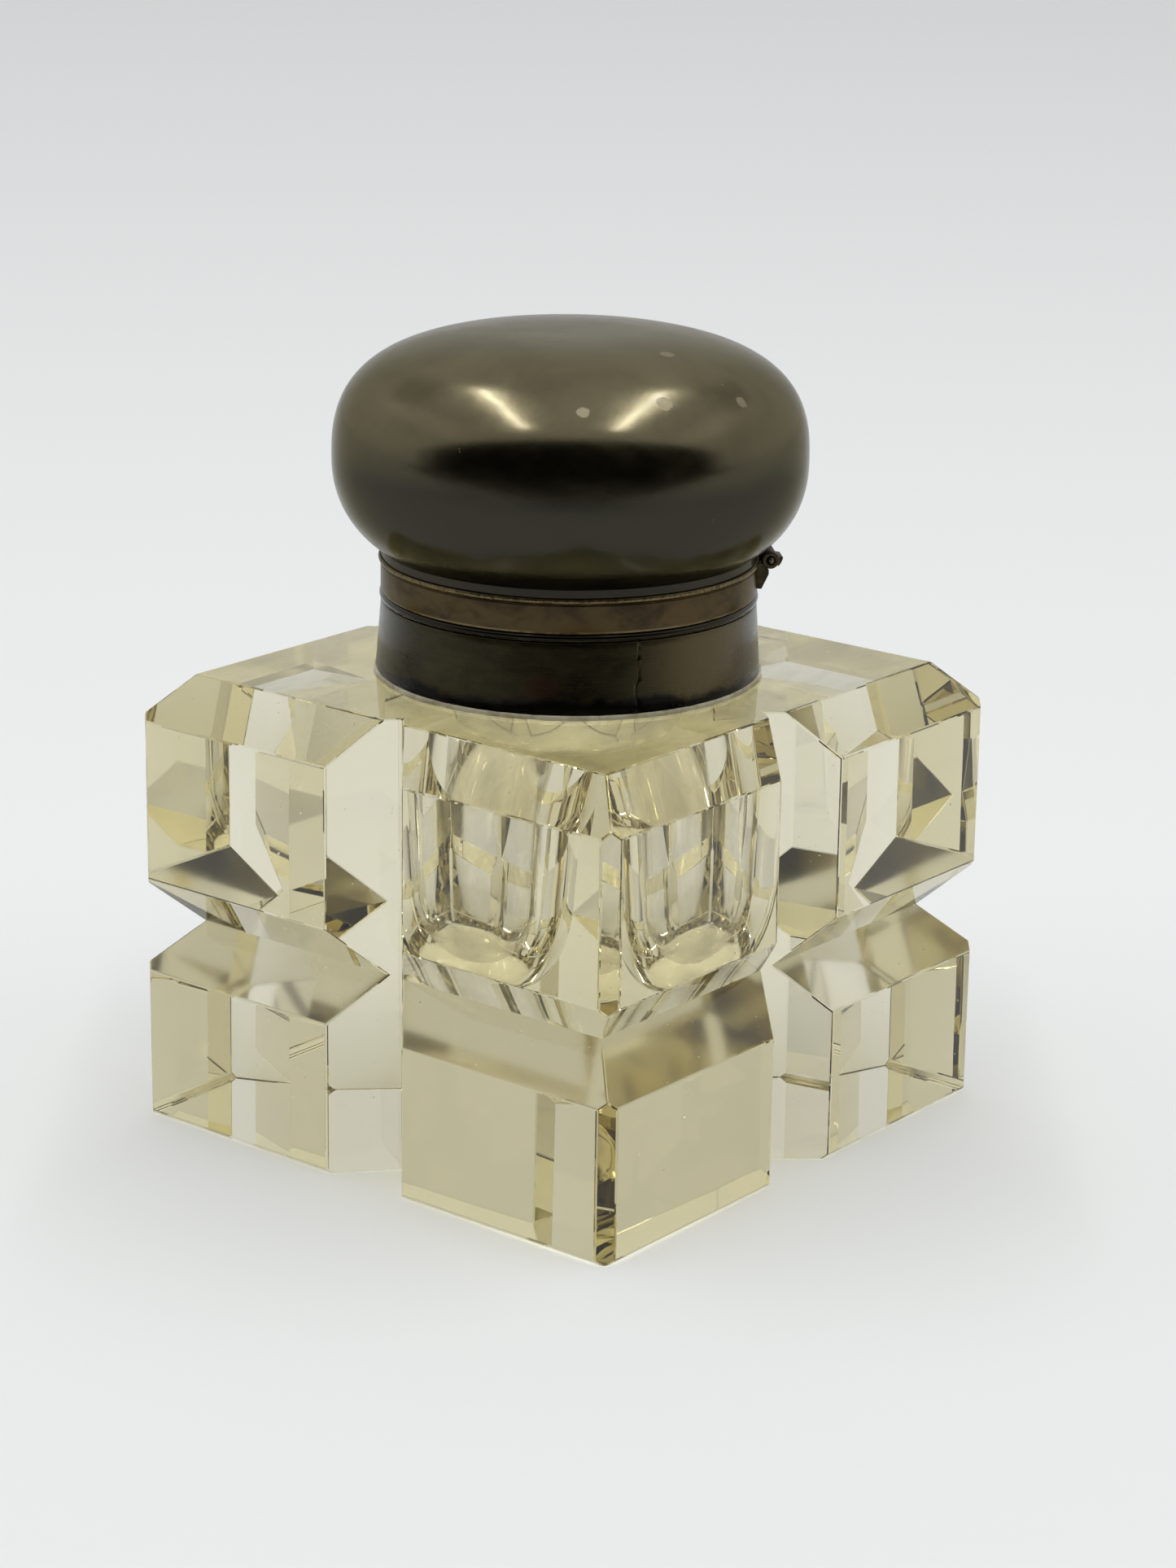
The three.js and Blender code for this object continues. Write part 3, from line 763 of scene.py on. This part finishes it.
def cut_block(settings, material):
    """A cube ground with a V up each side, a V round its waist, bevels, chamfers and a foot arris."""
    shape = Shape("Cube-cut block")
    width = shape.given("Width", glass_high.x - glass_low.x)
    deep = shape.given("Depth", glass_high.y - glass_low.y)
    tall = shape.given("Height", BLOCK_TOP)
    side_width = shape.given("Side cut width", settings.side_width)
    side_depth = shape.given("Side cut depth", settings.side_depth)
    waist = shape.given("Waist height", settings.waist_height)
    waist_width = shape.given("Waist cut width", settings.waist_width)
    waist_depth = shape.given("Waist cut depth", settings.waist_depth)
    across = shape.given("Top bevel across", settings.bevel_across)
    down = shape.given("Top bevel down", settings.bevel_down)
    chamfer = shape.given("Corner chamfer", settings.chamfer)
    arris = shape.given("Foot arris", settings.foot_arris)

    values = {"Size": shape.vector(width, deep, tall)}
    blank = shape.output("GeometryNodeMeshCube", None, values, "Mesh")
    blank = shape.moved(blank, shape.vector(z=tall / 2))

    def grinding_edge(cut_depth, cut_width, reach):
        """An upright bar of diamond section, whose inner corner grinds the V."""
        values = {"Vertices": 4, "Radius": 1.0, "Depth": 1.0}
        bar = shape.output("GeometryNodeMeshCylinder", None, values, "Mesh")
        spread = cut_width / 2 * (1 + CLEAR / cut_depth)
        return shape.moved(bar, scale=shape.vector(cut_depth + CLEAR, spread, reach))

    def grinding_face(tilt, move):
        """A block whose inner face, tilted about Y, grinds a flat."""
        values = {"Size": (REACH, REACH, REACH)}
        wheel = shape.output("GeometryNodeMeshCube", None, values, "Mesh")
        wheel = shape.moved(wheel, (REACH / 2, 0, 0))
        return shape.moved(wheel, move, shape.vector(y=tilt))

    upright = grinding_edge(side_depth, side_width, REACH)
    flat = shape.moved(grinding_edge(waist_depth, waist_width, REACH), turn=(math.pi / 2, 0, 0))
    flat = shape.moved(flat, shape.vector(z=waist))
    beyond = [width / 2 + CLEAR, deep / 2 + CLEAR]
    bevel_tilt = shape.number("ShaderNodeMath", {"operation": "ARCTAN2"}, {0: across, 1: down}) * -1
    bevel = grinding_face(bevel_tilt, shape.vector(z=tall - down / 2))
    foot = grinding_face(math.pi / 4, shape.vector(z=arris / 2))
    corner = grinding_face(0.0, (0, 0, 0))
    root = math.sqrt(2)
    cutters = [
        shape.round_four(upright, *beyond),
        shape.round_four(flat, *beyond),
        shape.round_four(bevel, width / 2 - across / 2, deep / 2 - across / 2),
        shape.round_four(foot, width / 2 - arris / 2, deep / 2 - arris / 2),
        shape.round_four(
            corner, (width / 2 - chamfer / 2) * root, (deep / 2 - chamfer / 2) * root, math.pi / 4
        ),
    ]
    realize = "GeometryNodeRealizeInstances"
    cutters = [shape.output(realize, None, {"Geometry": cutter}) for cutter in cutters]
    values = {"Mesh 1": blank, "Mesh 2": cutters, "Self Intersection": True}
    ways = {"operation": "DIFFERENCE", "solver": "EXACT"}
    cut = shape.output("GeometryNodeMeshBoolean", ways, values, "Mesh")
    return shape.made(cut, "Glass_Block", material)


def glass_neck(settings):
    radius = settings.neck_radius
    foot = BLOCK_TOP - CLEAR
    top = SEAT_UNDERSIDE - settings.neck_bed
    return turned("Neck", [(0, foot), (radius, foot), (radius, top), (0, top)], closed=False)


def well_space(settings):
    foot = settings.well_floor + settings.well_rounding_up
    shoulder = BLOCK_TOP - settings.shoulder_drop
    top = SEAT_UNDERSIDE + CLEAR
    across = settings.well_top_radius - settings.mouth_radius
    floor_centre = (settings.well_radius - settings.well_rounding, foot)
    rounding = (settings.well_rounding, settings.well_rounding_up)
    outline = [(0, settings.well_floor)]
    outline += arc(floor_centre, rounding, -90, 0, 20)
    outline += arc((settings.mouth_radius, shoulder), (across, settings.shoulder_rise), 0, 90, 16)
    outline += [(settings.mouth_radius, top), (0, top)]
    return turned("Well", outline, closed=False)


def glass_block(settings):
    material = glass_finish(settings)
    block = cut_block(settings, material)
    bm = bmesh.new()
    bm.from_mesh(block.data)
    flattened(bm, 0.001 * MM, 0.5)
    softened(bm, settings.edge)
    bmesh.ops.recalc_face_normals(bm, faces=bm.faces)
    for face in bm.faces:
        face.smooth = False
    bm.to_mesh(block.data)
    bm.free()
    combined(block, glass_neck(settings), "UNION")
    combined(block, well_space(settings), "DIFFERENCE")
    dressed(block, material, "base", "glass", "glass_block")


def cement_bed(settings):
    chance = random.Random(7)
    waves = [(chance.uniform(0, 6.3), count) for count in (5, 9, 14, 23, 37, 61)]

    def ragged(angle, radius, height):
        if radius < cement_high.x - 0.6 * MM or height > COLLAR_FOOT + 0.2 * MM:
            return 0
        total = sum(math.sin(count * angle + start) for start, count in waves)
        return -0.10 * MM - 0.045 * MM * total

    outside = cement_high.x
    inside = settings.neck_radius - BOND
    outline = [(inside, BLOCK_TOP - BOND), (outside, BLOCK_TOP - BOND)]
    outline += arc((outside - 0.25 * MM, COLLAR_FOOT - 0.12 * MM), (0.25 * MM, 0.25 * MM), 0, 80, 4)
    outline += [
        (collar_high.x - 0.5 * MM, COLLAR_FOOT + 0.08 * MM),
        (rim_high.x - 1.2 * MM, SEAT_UNDERSIDE - AIR),
        (settings.mouth_radius + 0.3 * MM, SEAT_UNDERSIDE - AIR),
        (settings.mouth_radius + 0.3 * MM, SEAT_UNDERSIDE - settings.neck_bed - BOND),
        (inside, SEAT_UNDERSIDE - settings.neck_bed - BOND),
    ]
    bed = turned("Cement_Bed", outline, steps=256, ripple=ragged)
    dressed(bed, cement_finish(), "base", "cement", "cement_bed")


# The collar


def collar_band(settings):
    """The band round the neck, a little dented, with its old crack."""
    foot = collar_high.x
    top = settings.collar_top
    wall = settings.wall
    outline = [
        (foot - wall, COLLAR_FOOT),
        (foot, COLLAR_FOOT),
        (top, SEAT_UNDERSIDE),
        (top - wall, SEAT_UNDERSIDE),
    ]
    outline = rounded(outline, 0.2 * MM)
    dense = []
    for first, second in zip(outline, outline[1:] + outline[:1]):
        pieces = max(1, round(math.dist(first, second) / (0.6 * MM)))
        for i in range(pieces):
            dense.append(tuple(a + (b - a) * i / pieces for a, b in zip(first, second)))

    def dents(angle, radius, height):
        return 0.035 * MM * math.sin(3 * angle + 0.7) * math.sin(height * 420) - 0.04 * MM

    band = turned("Collar_Band", dense, steps=224, ripple=dents)
    combined(band, crack_cutter(settings), "DIFFERENCE")
    dressed(band, collar_finish(), "base", "collar_brass", "collar_band")


def crack_cutter(settings):
    """A thin ragged blade through the outside of the band, from top to foot."""
    chance = random.Random(11)
    angle = settings.crack_direction
    out = Vector((math.cos(angle), math.sin(angle), 0))
    across = Vector((-out.y, out.x, 0))
    bm = bmesh.new()
    rows = []
    steps = 22
    drift = 0
    for step in range(steps + 1):
        height = SEAT_UNDERSIDE + 0.1 * MM - (SEAT_UNDERSIDE - COLLAR_FOOT + 0.2 * MM) * step / steps
        drift += chance.uniform(-0.11, 0.10) * MM
        half = (0.035 + 0.05 * chance.random()) * MM
        place = across * drift + Vector((0, 0, height))
        inner = place + out * (collar_high.x - 1.1 * MM)
        outer = place + out * (collar_high.x + 0.5 * MM)
        rows.append([bm.verts.new(v) for v in (inner, outer - across * half, outer + across * half)])
    for upper, lower in zip(rows, rows[1:]):
        for i in range(3):
            bm.faces.new([upper[i], upper[(i + 1) % 3], lower[(i + 1) % 3], lower[i]])
    bm.faces.new(rows[0])
    bm.faces.new(rows[-1])
    return finished("Crack", bm)


def mouth_ring(settings):
    """The seat over the collar, and the lip that lines the mouth."""
    low = mouth_low.z
    lip = settings.lip_radius
    wall = settings.lip_wall
    half = (SEAM - SEAT_UNDERSIDE) / 2
    inner = 0.3 * MM  # easing of the edge over the mouth
    eased = 0.2 * MM  # easing of the lip's foot
    middle = 0.09 * MM  # how far the middle of that easing lies from both faces
    edge_centre = (mouth_high.x - half, SEAT_UNDERSIDE + half)
    profile = [
        (lip + wall, SEAT_UNDERSIDE),
        *arc(edge_centre, (half, half), -90, 90, 10),
        (lip + inner, SEAM),
        (lip + middle, SEAM - middle),
        (lip, SEAM - inner),
        (lip, low + eased),
        (lip + eased, low),
        (lip + wall - eased, low),
        (lip + wall, low + eased),
    ]
    ring = turned("Mouth_Ring", profile)
    dressed(ring, collar_finish(), "base", "collar_brass", "collar_mouth_ring")


# The lid


def dome_outline(settings, steps):
    """The dome's outside: a squarish ellipse above its widest line, another below it."""
    across = dome_high.x
    equator = SEAM + settings.equator
    rise = dome_high.z - equator
    neck = settings.collar_top

    def power(value, exponent):
        return max(value, 0) ** exponent

    neck_angle = math.acos(power(neck / across, settings.belly_across / 2))
    points = [(neck, RIM_TOP)]
    for i in range(steps):
        angle = neck_angle * (1 - i / steps)
        out = across * power(math.cos(angle), 2 / settings.belly_across)
        points.append((out, equator - settings.belly_drop * power(math.sin(angle), 2 / settings.belly_down)))
    for i in range(steps):
        angle = math.pi / 2 * i / steps
        out = across * power(math.cos(angle), 2 / settings.crown_across)
        points.append((out, equator + rise * power(math.sin(angle), 2 / settings.crown_up)))
    return points + [(0, dome_high.z)]


def spread_evenly(points, gap):
    """The same line with its points about a gap apart."""
    lengths = [0]
    for first, second in zip(points, points[1:]):
        lengths.append(lengths[-1] + math.dist(first, second))
    count = round(lengths[-1] / gap)
    spread = []
    k = 0
    for i in range(count + 1):
        target = lengths[-1] * i / count
        while k < len(points) - 2 and lengths[k + 1] < target:
            k += 1
        t = (target - lengths[k]) / (lengths[k + 1] - lengths[k])
        spread.append(tuple(a + (b - a) * t for a, b in zip(points[k], points[k + 1])))
    return spread


def lid_dome(settings, material):
    outside = spread_evenly(dome_outline(settings, 400), 0.45 * MM)
    outside[-1] = (0, dome_high.z)
    inside = []
    for before, point, after in zip(outside, outside[1:], outside[2:]):
        along = (Vector(after) - Vector(before)).normalized()
        inside.append((point[0] - settings.wall * along.y, point[1] + settings.wall * along.x))
    inside = [point for point in inside if point[0] > settings.wall][::4]
    inside = [(settings.collar_top - settings.wall, RIM_TOP), *inside, (0, dome_high.z - settings.wall)]

    def hammered(angle, radius, height):
        return 0.02 * MM * (math.sin(4 * angle + height * 260) + math.sin(7 * angle - height * 330) - 2)

    dome = turned("Lid_Dome", [*inside[::-1], *outside], steps=224, closed=False, ripple=hammered)
    dressed(dome, material, "lid", "lid_brass", "lid_dome")


def rim_band(settings, material):
    """The lid's rim: a plain band with a turned line and a bead under the dome."""
    out = settings.collar_top
    inner = out - settings.wall
    bead = settings.bead
    proud = rim_high.x - out
    bead_height = RIM_TOP - bead
    fine = 0.1 * MM
    profile = [
        (inner, SEAM),
        (out - 2 * fine, SEAM),
        (out - 0.5 * fine, SEAM + 0.5 * fine),
        (out, SEAM + 2 * fine),
        (out, bead_height - bead - 2.5 * fine),
        (out - 0.9 * fine, bead_height - bead - 1.5 * fine),
        (out - 0.9 * fine, bead_height - bead - fine),
        *arc((out, bead_height), (proud, bead), -75, 75, 12),
        (out - fine, RIM_TOP - 0.2 * fine),
        (out - fine, RIM_TOP),
        (inner, RIM_TOP),
    ]
    band = turned("Lid_Rim_Band", profile, steps=256)
    combined(band, leaf_slot(settings), "DIFFERENCE")
    dressed(band, material, "lid", "lid_brass", "lid_rim_band")


def closing_plate(settings, material):
    plate = turned(
        "Lid_Closing_Plate",
        [
            (0, plate_low.z),
            (plate_high.x - 0.1 * MM, plate_low.z),
            (plate_high.x, plate_low.z + 0.1 * MM),
            (plate_high.x, plate_high.z),
            (0, plate_high.z),
        ],
        closed=False,
    )
    combined(plate, leaf_slot(settings), "DIFFERENCE")
    dressed(plate, material, "lid", "inner_brass", "lid_closing_plate")


def locating_ring(material):
    out = spigot_high.x
    inner = out - 0.8 * MM
    outline = rounded(
        [(inner, spigot_low.z), (out, spigot_low.z), (out, spigot_high.z), (inner, spigot_high.z)], 0.2 * MM
    )
    ring = turned("Lid_Locating_Ring", outline)
    dressed(ring, material, "lid", "inner_brass", "lid_locating_ring")


# The hinge


def hinge_frame():
    """Turns the hinge's own X (outwards), Y (along the pin) and Z (up) into the part's frame."""
    place = Vector(HINGE["pos_m"])
    along = Vector(HINGE["axis"]).normalized()
    out = Vector((place.x, place.y, 0)).normalized()
    up = Vector((0, 0, 1))
    if out.cross(along).dot(up) < 0:
        along = -along
    turn = Matrix((out, along, up)).transposed().to_4x4()
    return Matrix.Translation(place) @ turn


def leaf_slot(settings):
    """The space that the collar's leaf passes through in the lid."""
    place = hinge_frame()
    bm = bmesh.new()
    bmesh.ops.create_cube(bm, size=1)
    inner = settings.leaf_inside - settings.slot_clearance
    outer = settings.collar_top + CLEAR
    low = SEAM - CLEAR
    high = RIM_TOP + CLEAR
    radius = Vector((place.translation.x, place.translation.y, 0)).length
    centre = Vector(((inner + outer) / 2 - radius, 0, (low + high) / 2 - place.translation.z))
    size = Vector((outer - inner, 2 * settings.slot_half, high - low))
    for vert in bm.verts:
        vert.co = place @ (Vector([a * b for a, b in zip(vert.co, size)]) + centre)
    return finished("Leaf slot", bm)


def on_pin(name, profile, steps=48, closed=True):
    """A (radius, along) profile turned about the hinge's pin."""
    piece = turned(name, profile, steps, closed)
    piece.data.transform(hinge_frame() @ Matrix.Rotation(-math.pi / 2, 4, "X"))
    return piece


def knuckle(name, start, end, settings):
    out = settings.knuckle_radius
    bore = settings.pin_radius + settings.pin_clearance
    outline = rounded([(bore, start), (out, start), (out, end), (bore, end)], 0.16 * MM)
    return on_pin(name, outline)


def soldered(piece, gap):
    """Brings a bearer's inner side nearly up to the rim, as the solder between them would."""
    shift = 0.9 * gap
    for vert in piece.data.vertices:
        radius = vert.co.xy.length
        if radius < RIM_RADIUS + 3 * gap:
            vert.co.xy *= 1 - shift / radius


def hinge_pieces(settings):
    brass = plain_brass("Dark hinge brass", (0.105, 0.085, 0.05), (0.055, 0.043, 0.026), 0.36)
    steel = plain_brass("Hinge pin steel", (0.16, 0.15, 0.135), (0.07, 0.06, 0.05), 0.3)
    knuckles = {"lid_knuckle_front": "Lid_Knuckle_Front", "lid_knuckle_back": "Lid_Knuckle_Back"}
    place = hinge_frame().inverted()
    for node, name in knuckles.items():
        along = [(place @ vert.co).y for vert in frame["nodes"][node].data.vertices]
        start, end = -max(along), -min(along)
        piece = knuckle(name, start, end, settings)
        dressed(piece, brass, "lid", "hinge_brass", node)
    copies = {
        "collar_hinge_leaf": ("Collar_Hinge_Leaf", "base"),
        "collar_knuckle": ("Collar_Knuckle", "base"),
        "lid_hinge_bearer_front": ("Lid_Hinge_Bearer_Front", "lid"),
        "lid_hinge_bearer_back": ("Lid_Hinge_Bearer_Back", "lid"),
    }
    for node, (name, body) in copies.items():
        piece = softened_copy(node, name, settings.soft_edge)
        if body == "lid":
            soldered(piece, settings.solder_gap)
        dressed(piece, brass, body, "hinge_brass", node)
    along = [(place @ vert.co).y for vert in frame["nodes"]["hinge_pin"].data.vertices]
    end = max(along)
    domed = 0.3 * MM  # height of the pin's rounded ends
    ends = arc((0, end - domed), (settings.pin_radius, domed), 0, 90, 6)
    profile = [(r, -h) for r, h in ends[::-1]] + ends
    profile[0] = (0, -end)
    profile[-1] = (0, end)
    pin = on_pin("Hinge_Pin", profile, closed=False)
    dressed(pin, steel, "base", "pin_steel", "hinge_pin")


# The stage


def aimed(azimuth, elevation):
    """The direction from the object towards a place, by its azimuth from -Y and its elevation."""
    flat = math.cos(elevation)
    return Vector((math.sin(azimuth) * flat, -math.cos(azimuth) * flat, math.sin(elevation)))


def camera(settings):
    back = aimed(settings.azimuth, settings.elevation)
    right = (-back).cross(Vector((0, 0, 1))).normalized()
    up = right.cross(-back)
    right, up = (
        right * math.cos(settings.roll) + up * math.sin(settings.roll),
        up * math.cos(settings.roll) - right * math.sin(settings.roll),
    )
    data = bpy.data.cameras.new("Camera")
    data.lens = settings.lens
    data.sensor_width = 36
    data.sensor_fit = "AUTO"
    data.clip_start = 0.01
    data.clip_end = 20
    eye = bpy.data.objects.new("Camera", data)
    eye.matrix_world = Matrix.Translation(Vector(settings.target) + back * settings.distance) @ Matrix(
        (right, up, back)
    ).transposed().to_4x4()
    bpy.context.scene.collection.objects.link(eye)
    bpy.context.scene.camera = eye


def floor(settings):
    bm = bmesh.new()
    bmesh.ops.create_grid(bm, x_segments=8, y_segments=8, size=settings.floor_size)
    bmesh.ops.translate(bm, verts=bm.verts, vec=(0, 0, -0.05 * MM))
    piece = finished("Floor", bm)
    piece.data.materials.append(floor_finish(settings))


def strip_light(name, settings, side):
    """A long soft light over one side, running from behind the object to in front of it."""
    towards = aimed(settings.azimuth, 0)
    across = (-towards).cross(Vector((0, 0, 1)))
    height = settings.strip_height
    place = across * side * settings.strip_side * height
    place += towards * settings.strip_forward * height + Vector((0, 0, height))
    data = bpy.data.lights.new(name, "AREA")
    data.shape = "RECTANGLE"
    data.size = settings.strip_width * height
    data.size_y = settings.strip_length * height
    data.energy = settings.strip_power
    data.color = (0.96, 1.0, 1.05)
    light = bpy.data.objects.new(name, data)
    turn = Matrix((across, -towards, Vector((0, 0, 1)))).transposed().to_4x4()
    light.matrix_world = Matrix.Translation(place) @ turn
    bpy.context.scene.collection.objects.link(light)


def surroundings(settings):
    """A white tent, with its opening on the camera's side and dimmer walls low down at the sides."""
    world = bpy.data.worlds.new("Studio")
    bpy.context.scene.world = world
    world.use_nodes = True
    sky = Builder(world.node_tree)
    sky.tree.nodes.clear()
    direction = sky.output("ShaderNodeTexCoord", name="Generated")
    towards = aimed(settings.azimuth, 0)
    across = (-towards).cross(Vector((0, 0, 1)))

    def along(axis):
        values = {0: direction, 1: axis}
        return sky.number("ShaderNodeVectorMath", {"operation": "DOT_PRODUCT"}, values, "Value")

    front = along(towards)
    side = along(across).distance_from(0)
    up = along(Vector((0, 0, 1)))
    inside = front.highest(0.02)
    opening = (up / inside).rise(1.25, 0.9) * (side / inside).rise(6.0, 1.4) * front.rise(0.02, 0.2)
    low = up.rise(0.75, 0.2)
    window = side.rise(0.62, 0.75) * up.rise(0.45, 0.56) * up.rise(0.78, 0.68)
    shade = up.rise(0.5, 0.6) * up.rise(0.82, 0.72) * front.rise(-0.2, -0.5) * side.rise(0.3, 0.45)
    wall = 0.8  # brightness of the tent's cloth
    level = wall - low * 0.15 + window * 0.18 - shade * 0.3
    level = level * (1 - opening * 0.99)
    seen = sky.output("ShaderNodeLightPath", name="Is Camera Ray")
    level = sky.number("ShaderNodeMix", {"data_type": "FLOAT"}, {0: seen, 2: level, 3: wall}, 0)
    values = {0: tuple(settings.sky), "Scale": level}
    colour = sky.output("ShaderNodeVectorMath", {"operation": "SCALE"}, values)
    light = sky.output("ShaderNodeBackground", None, {"Color": colour, "Strength": settings.sky_strength})
    sky.feed(sky.add("ShaderNodeOutputWorld").inputs["Surface"], light)


# The add-on


class INKWELL_OT_stage(bpy.types.Operator):
    """Adds the floor, the lights and the camera."""

    bl_idname = "inkwell.stage"
    bl_label = "Stage"

    def execute(self, context):
        settings = context.scene.inkwell_stage
        context.scene.view_settings.view_transform = "Standard"
        context.scene.cycles.max_bounces = 24
        context.scene.cycles.transmission_bounces = 24
        context.scene.cycles.glossy_bounces = 12
        context.scene.cycles.transparent_max_bounces = 24
        camera(settings)
        floor(settings)
        surroundings(settings)
        strip_light("Strip_Left", settings, -1)
        strip_light("Strip_Right", settings, 1)
        return {"FINISHED"}


class INKWELL_OT_glass(bpy.types.Operator):
    """Grinds the glass block and hollows its well."""

    bl_idname = "inkwell.glass"
    bl_label = "Glass block"

    def execute(self, context):
        glass_block(context.scene.inkwell_glass)
        return {"FINISHED"}


class INKWELL_OT_cement(bpy.types.Operator):
    """Beds the collar in plaster cement."""

    bl_idname = "inkwell.cement"
    bl_label = "Cement bed"

    def execute(self, context):
        cement_bed(context.scene.inkwell_glass)
        return {"FINISHED"}


class INKWELL_OT_collar(bpy.types.Operator):
    """Adds the collar's band and its mouth ring."""

    bl_idname = "inkwell.collar"
    bl_label = "Collar"

    def execute(self, context):
        settings = context.scene.inkwell_collar
        collar_band(settings)
        mouth_ring(settings)
        return {"FINISHED"}


class INKWELL_OT_lid(bpy.types.Operator):
    """Adds the dome, its rim band, closing plate and locating ring."""

    bl_idname = "inkwell.lid"
    bl_label = "Lid"

    def execute(self, context):
        settings = context.scene.inkwell_lid
        patina = lid_finish(settings)
        lid_dome(settings, patina)
        rim_band(settings, patina)
        inner = plain_brass("Inner brass", (0.30, 0.235, 0.12), (0.16, 0.12, 0.06), 0.28)
        closing_plate(settings, inner)
        locating_ring(inner)
        return {"FINISHED"}


class INKWELL_OT_hinge(bpy.types.Operator):
    """Adds the hinge's leaf, bearers, knuckles and pin."""

    bl_idname = "inkwell.hinge"
    bl_label = "Hinge"

    def execute(self, context):
        hinge_pieces(context.scene.inkwell_hinge)
        return {"FINISHED"}


OPERATORS = (
    INKWELL_OT_stage,
    INKWELL_OT_glass,
    INKWELL_OT_cement,
    INKWELL_OT_collar,
    INKWELL_OT_lid,
    INKWELL_OT_hinge,
)
SETTINGS = {
    "inkwell_glass": GlassSettings,
    "inkwell_collar": CollarSettings,
    "inkwell_lid": LidSettings,
    "inkwell_hinge": HingeSettings,
    "inkwell_stage": StageSettings,
}


class INKWELL_PT_panel(bpy.types.Panel):
    """Lists the inkwell's settings and pieces."""

    bl_label = "Inkwell"
    bl_idname = "INKWELL_PT_panel"
    bl_space_type = "VIEW_3D"
    bl_region_type = "UI"
    bl_category = "Inkwell"

    def draw(self, context):
        for operator in OPERATORS:
            self.layout.operator(operator.bl_idname)
        for name, group in SETTINGS.items():
            box = self.layout.box()
            settings = getattr(context.scene, name)
            for key in group.__annotations__:
                box.prop(settings, key)


def register():
    for group in SETTINGS.values():
        bpy.utils.register_class(group)
    for name, group in SETTINGS.items():
        setattr(bpy.types.Scene, name, PointerProperty(type=group))
    for kind in (*OPERATORS, INKWELL_PT_panel):
        bpy.utils.register_class(kind)


def unregister():
    for kind in (INKWELL_PT_panel, *reversed(OPERATORS)):
        bpy.utils.unregister_class(kind)
    for name, group in reversed(SETTINGS.items()):
        delattr(bpy.types.Scene, name)
        bpy.utils.unregister_class(group)


def main():
    register()
    bpy.ops.inkwell.stage()
    bpy.ops.inkwell.glass()
    bpy.ops.inkwell.cement()
    bpy.ops.inkwell.collar()
    bpy.ops.inkwell.lid()
    bpy.ops.inkwell.hinge()


if __name__ == "__main__":
    main()
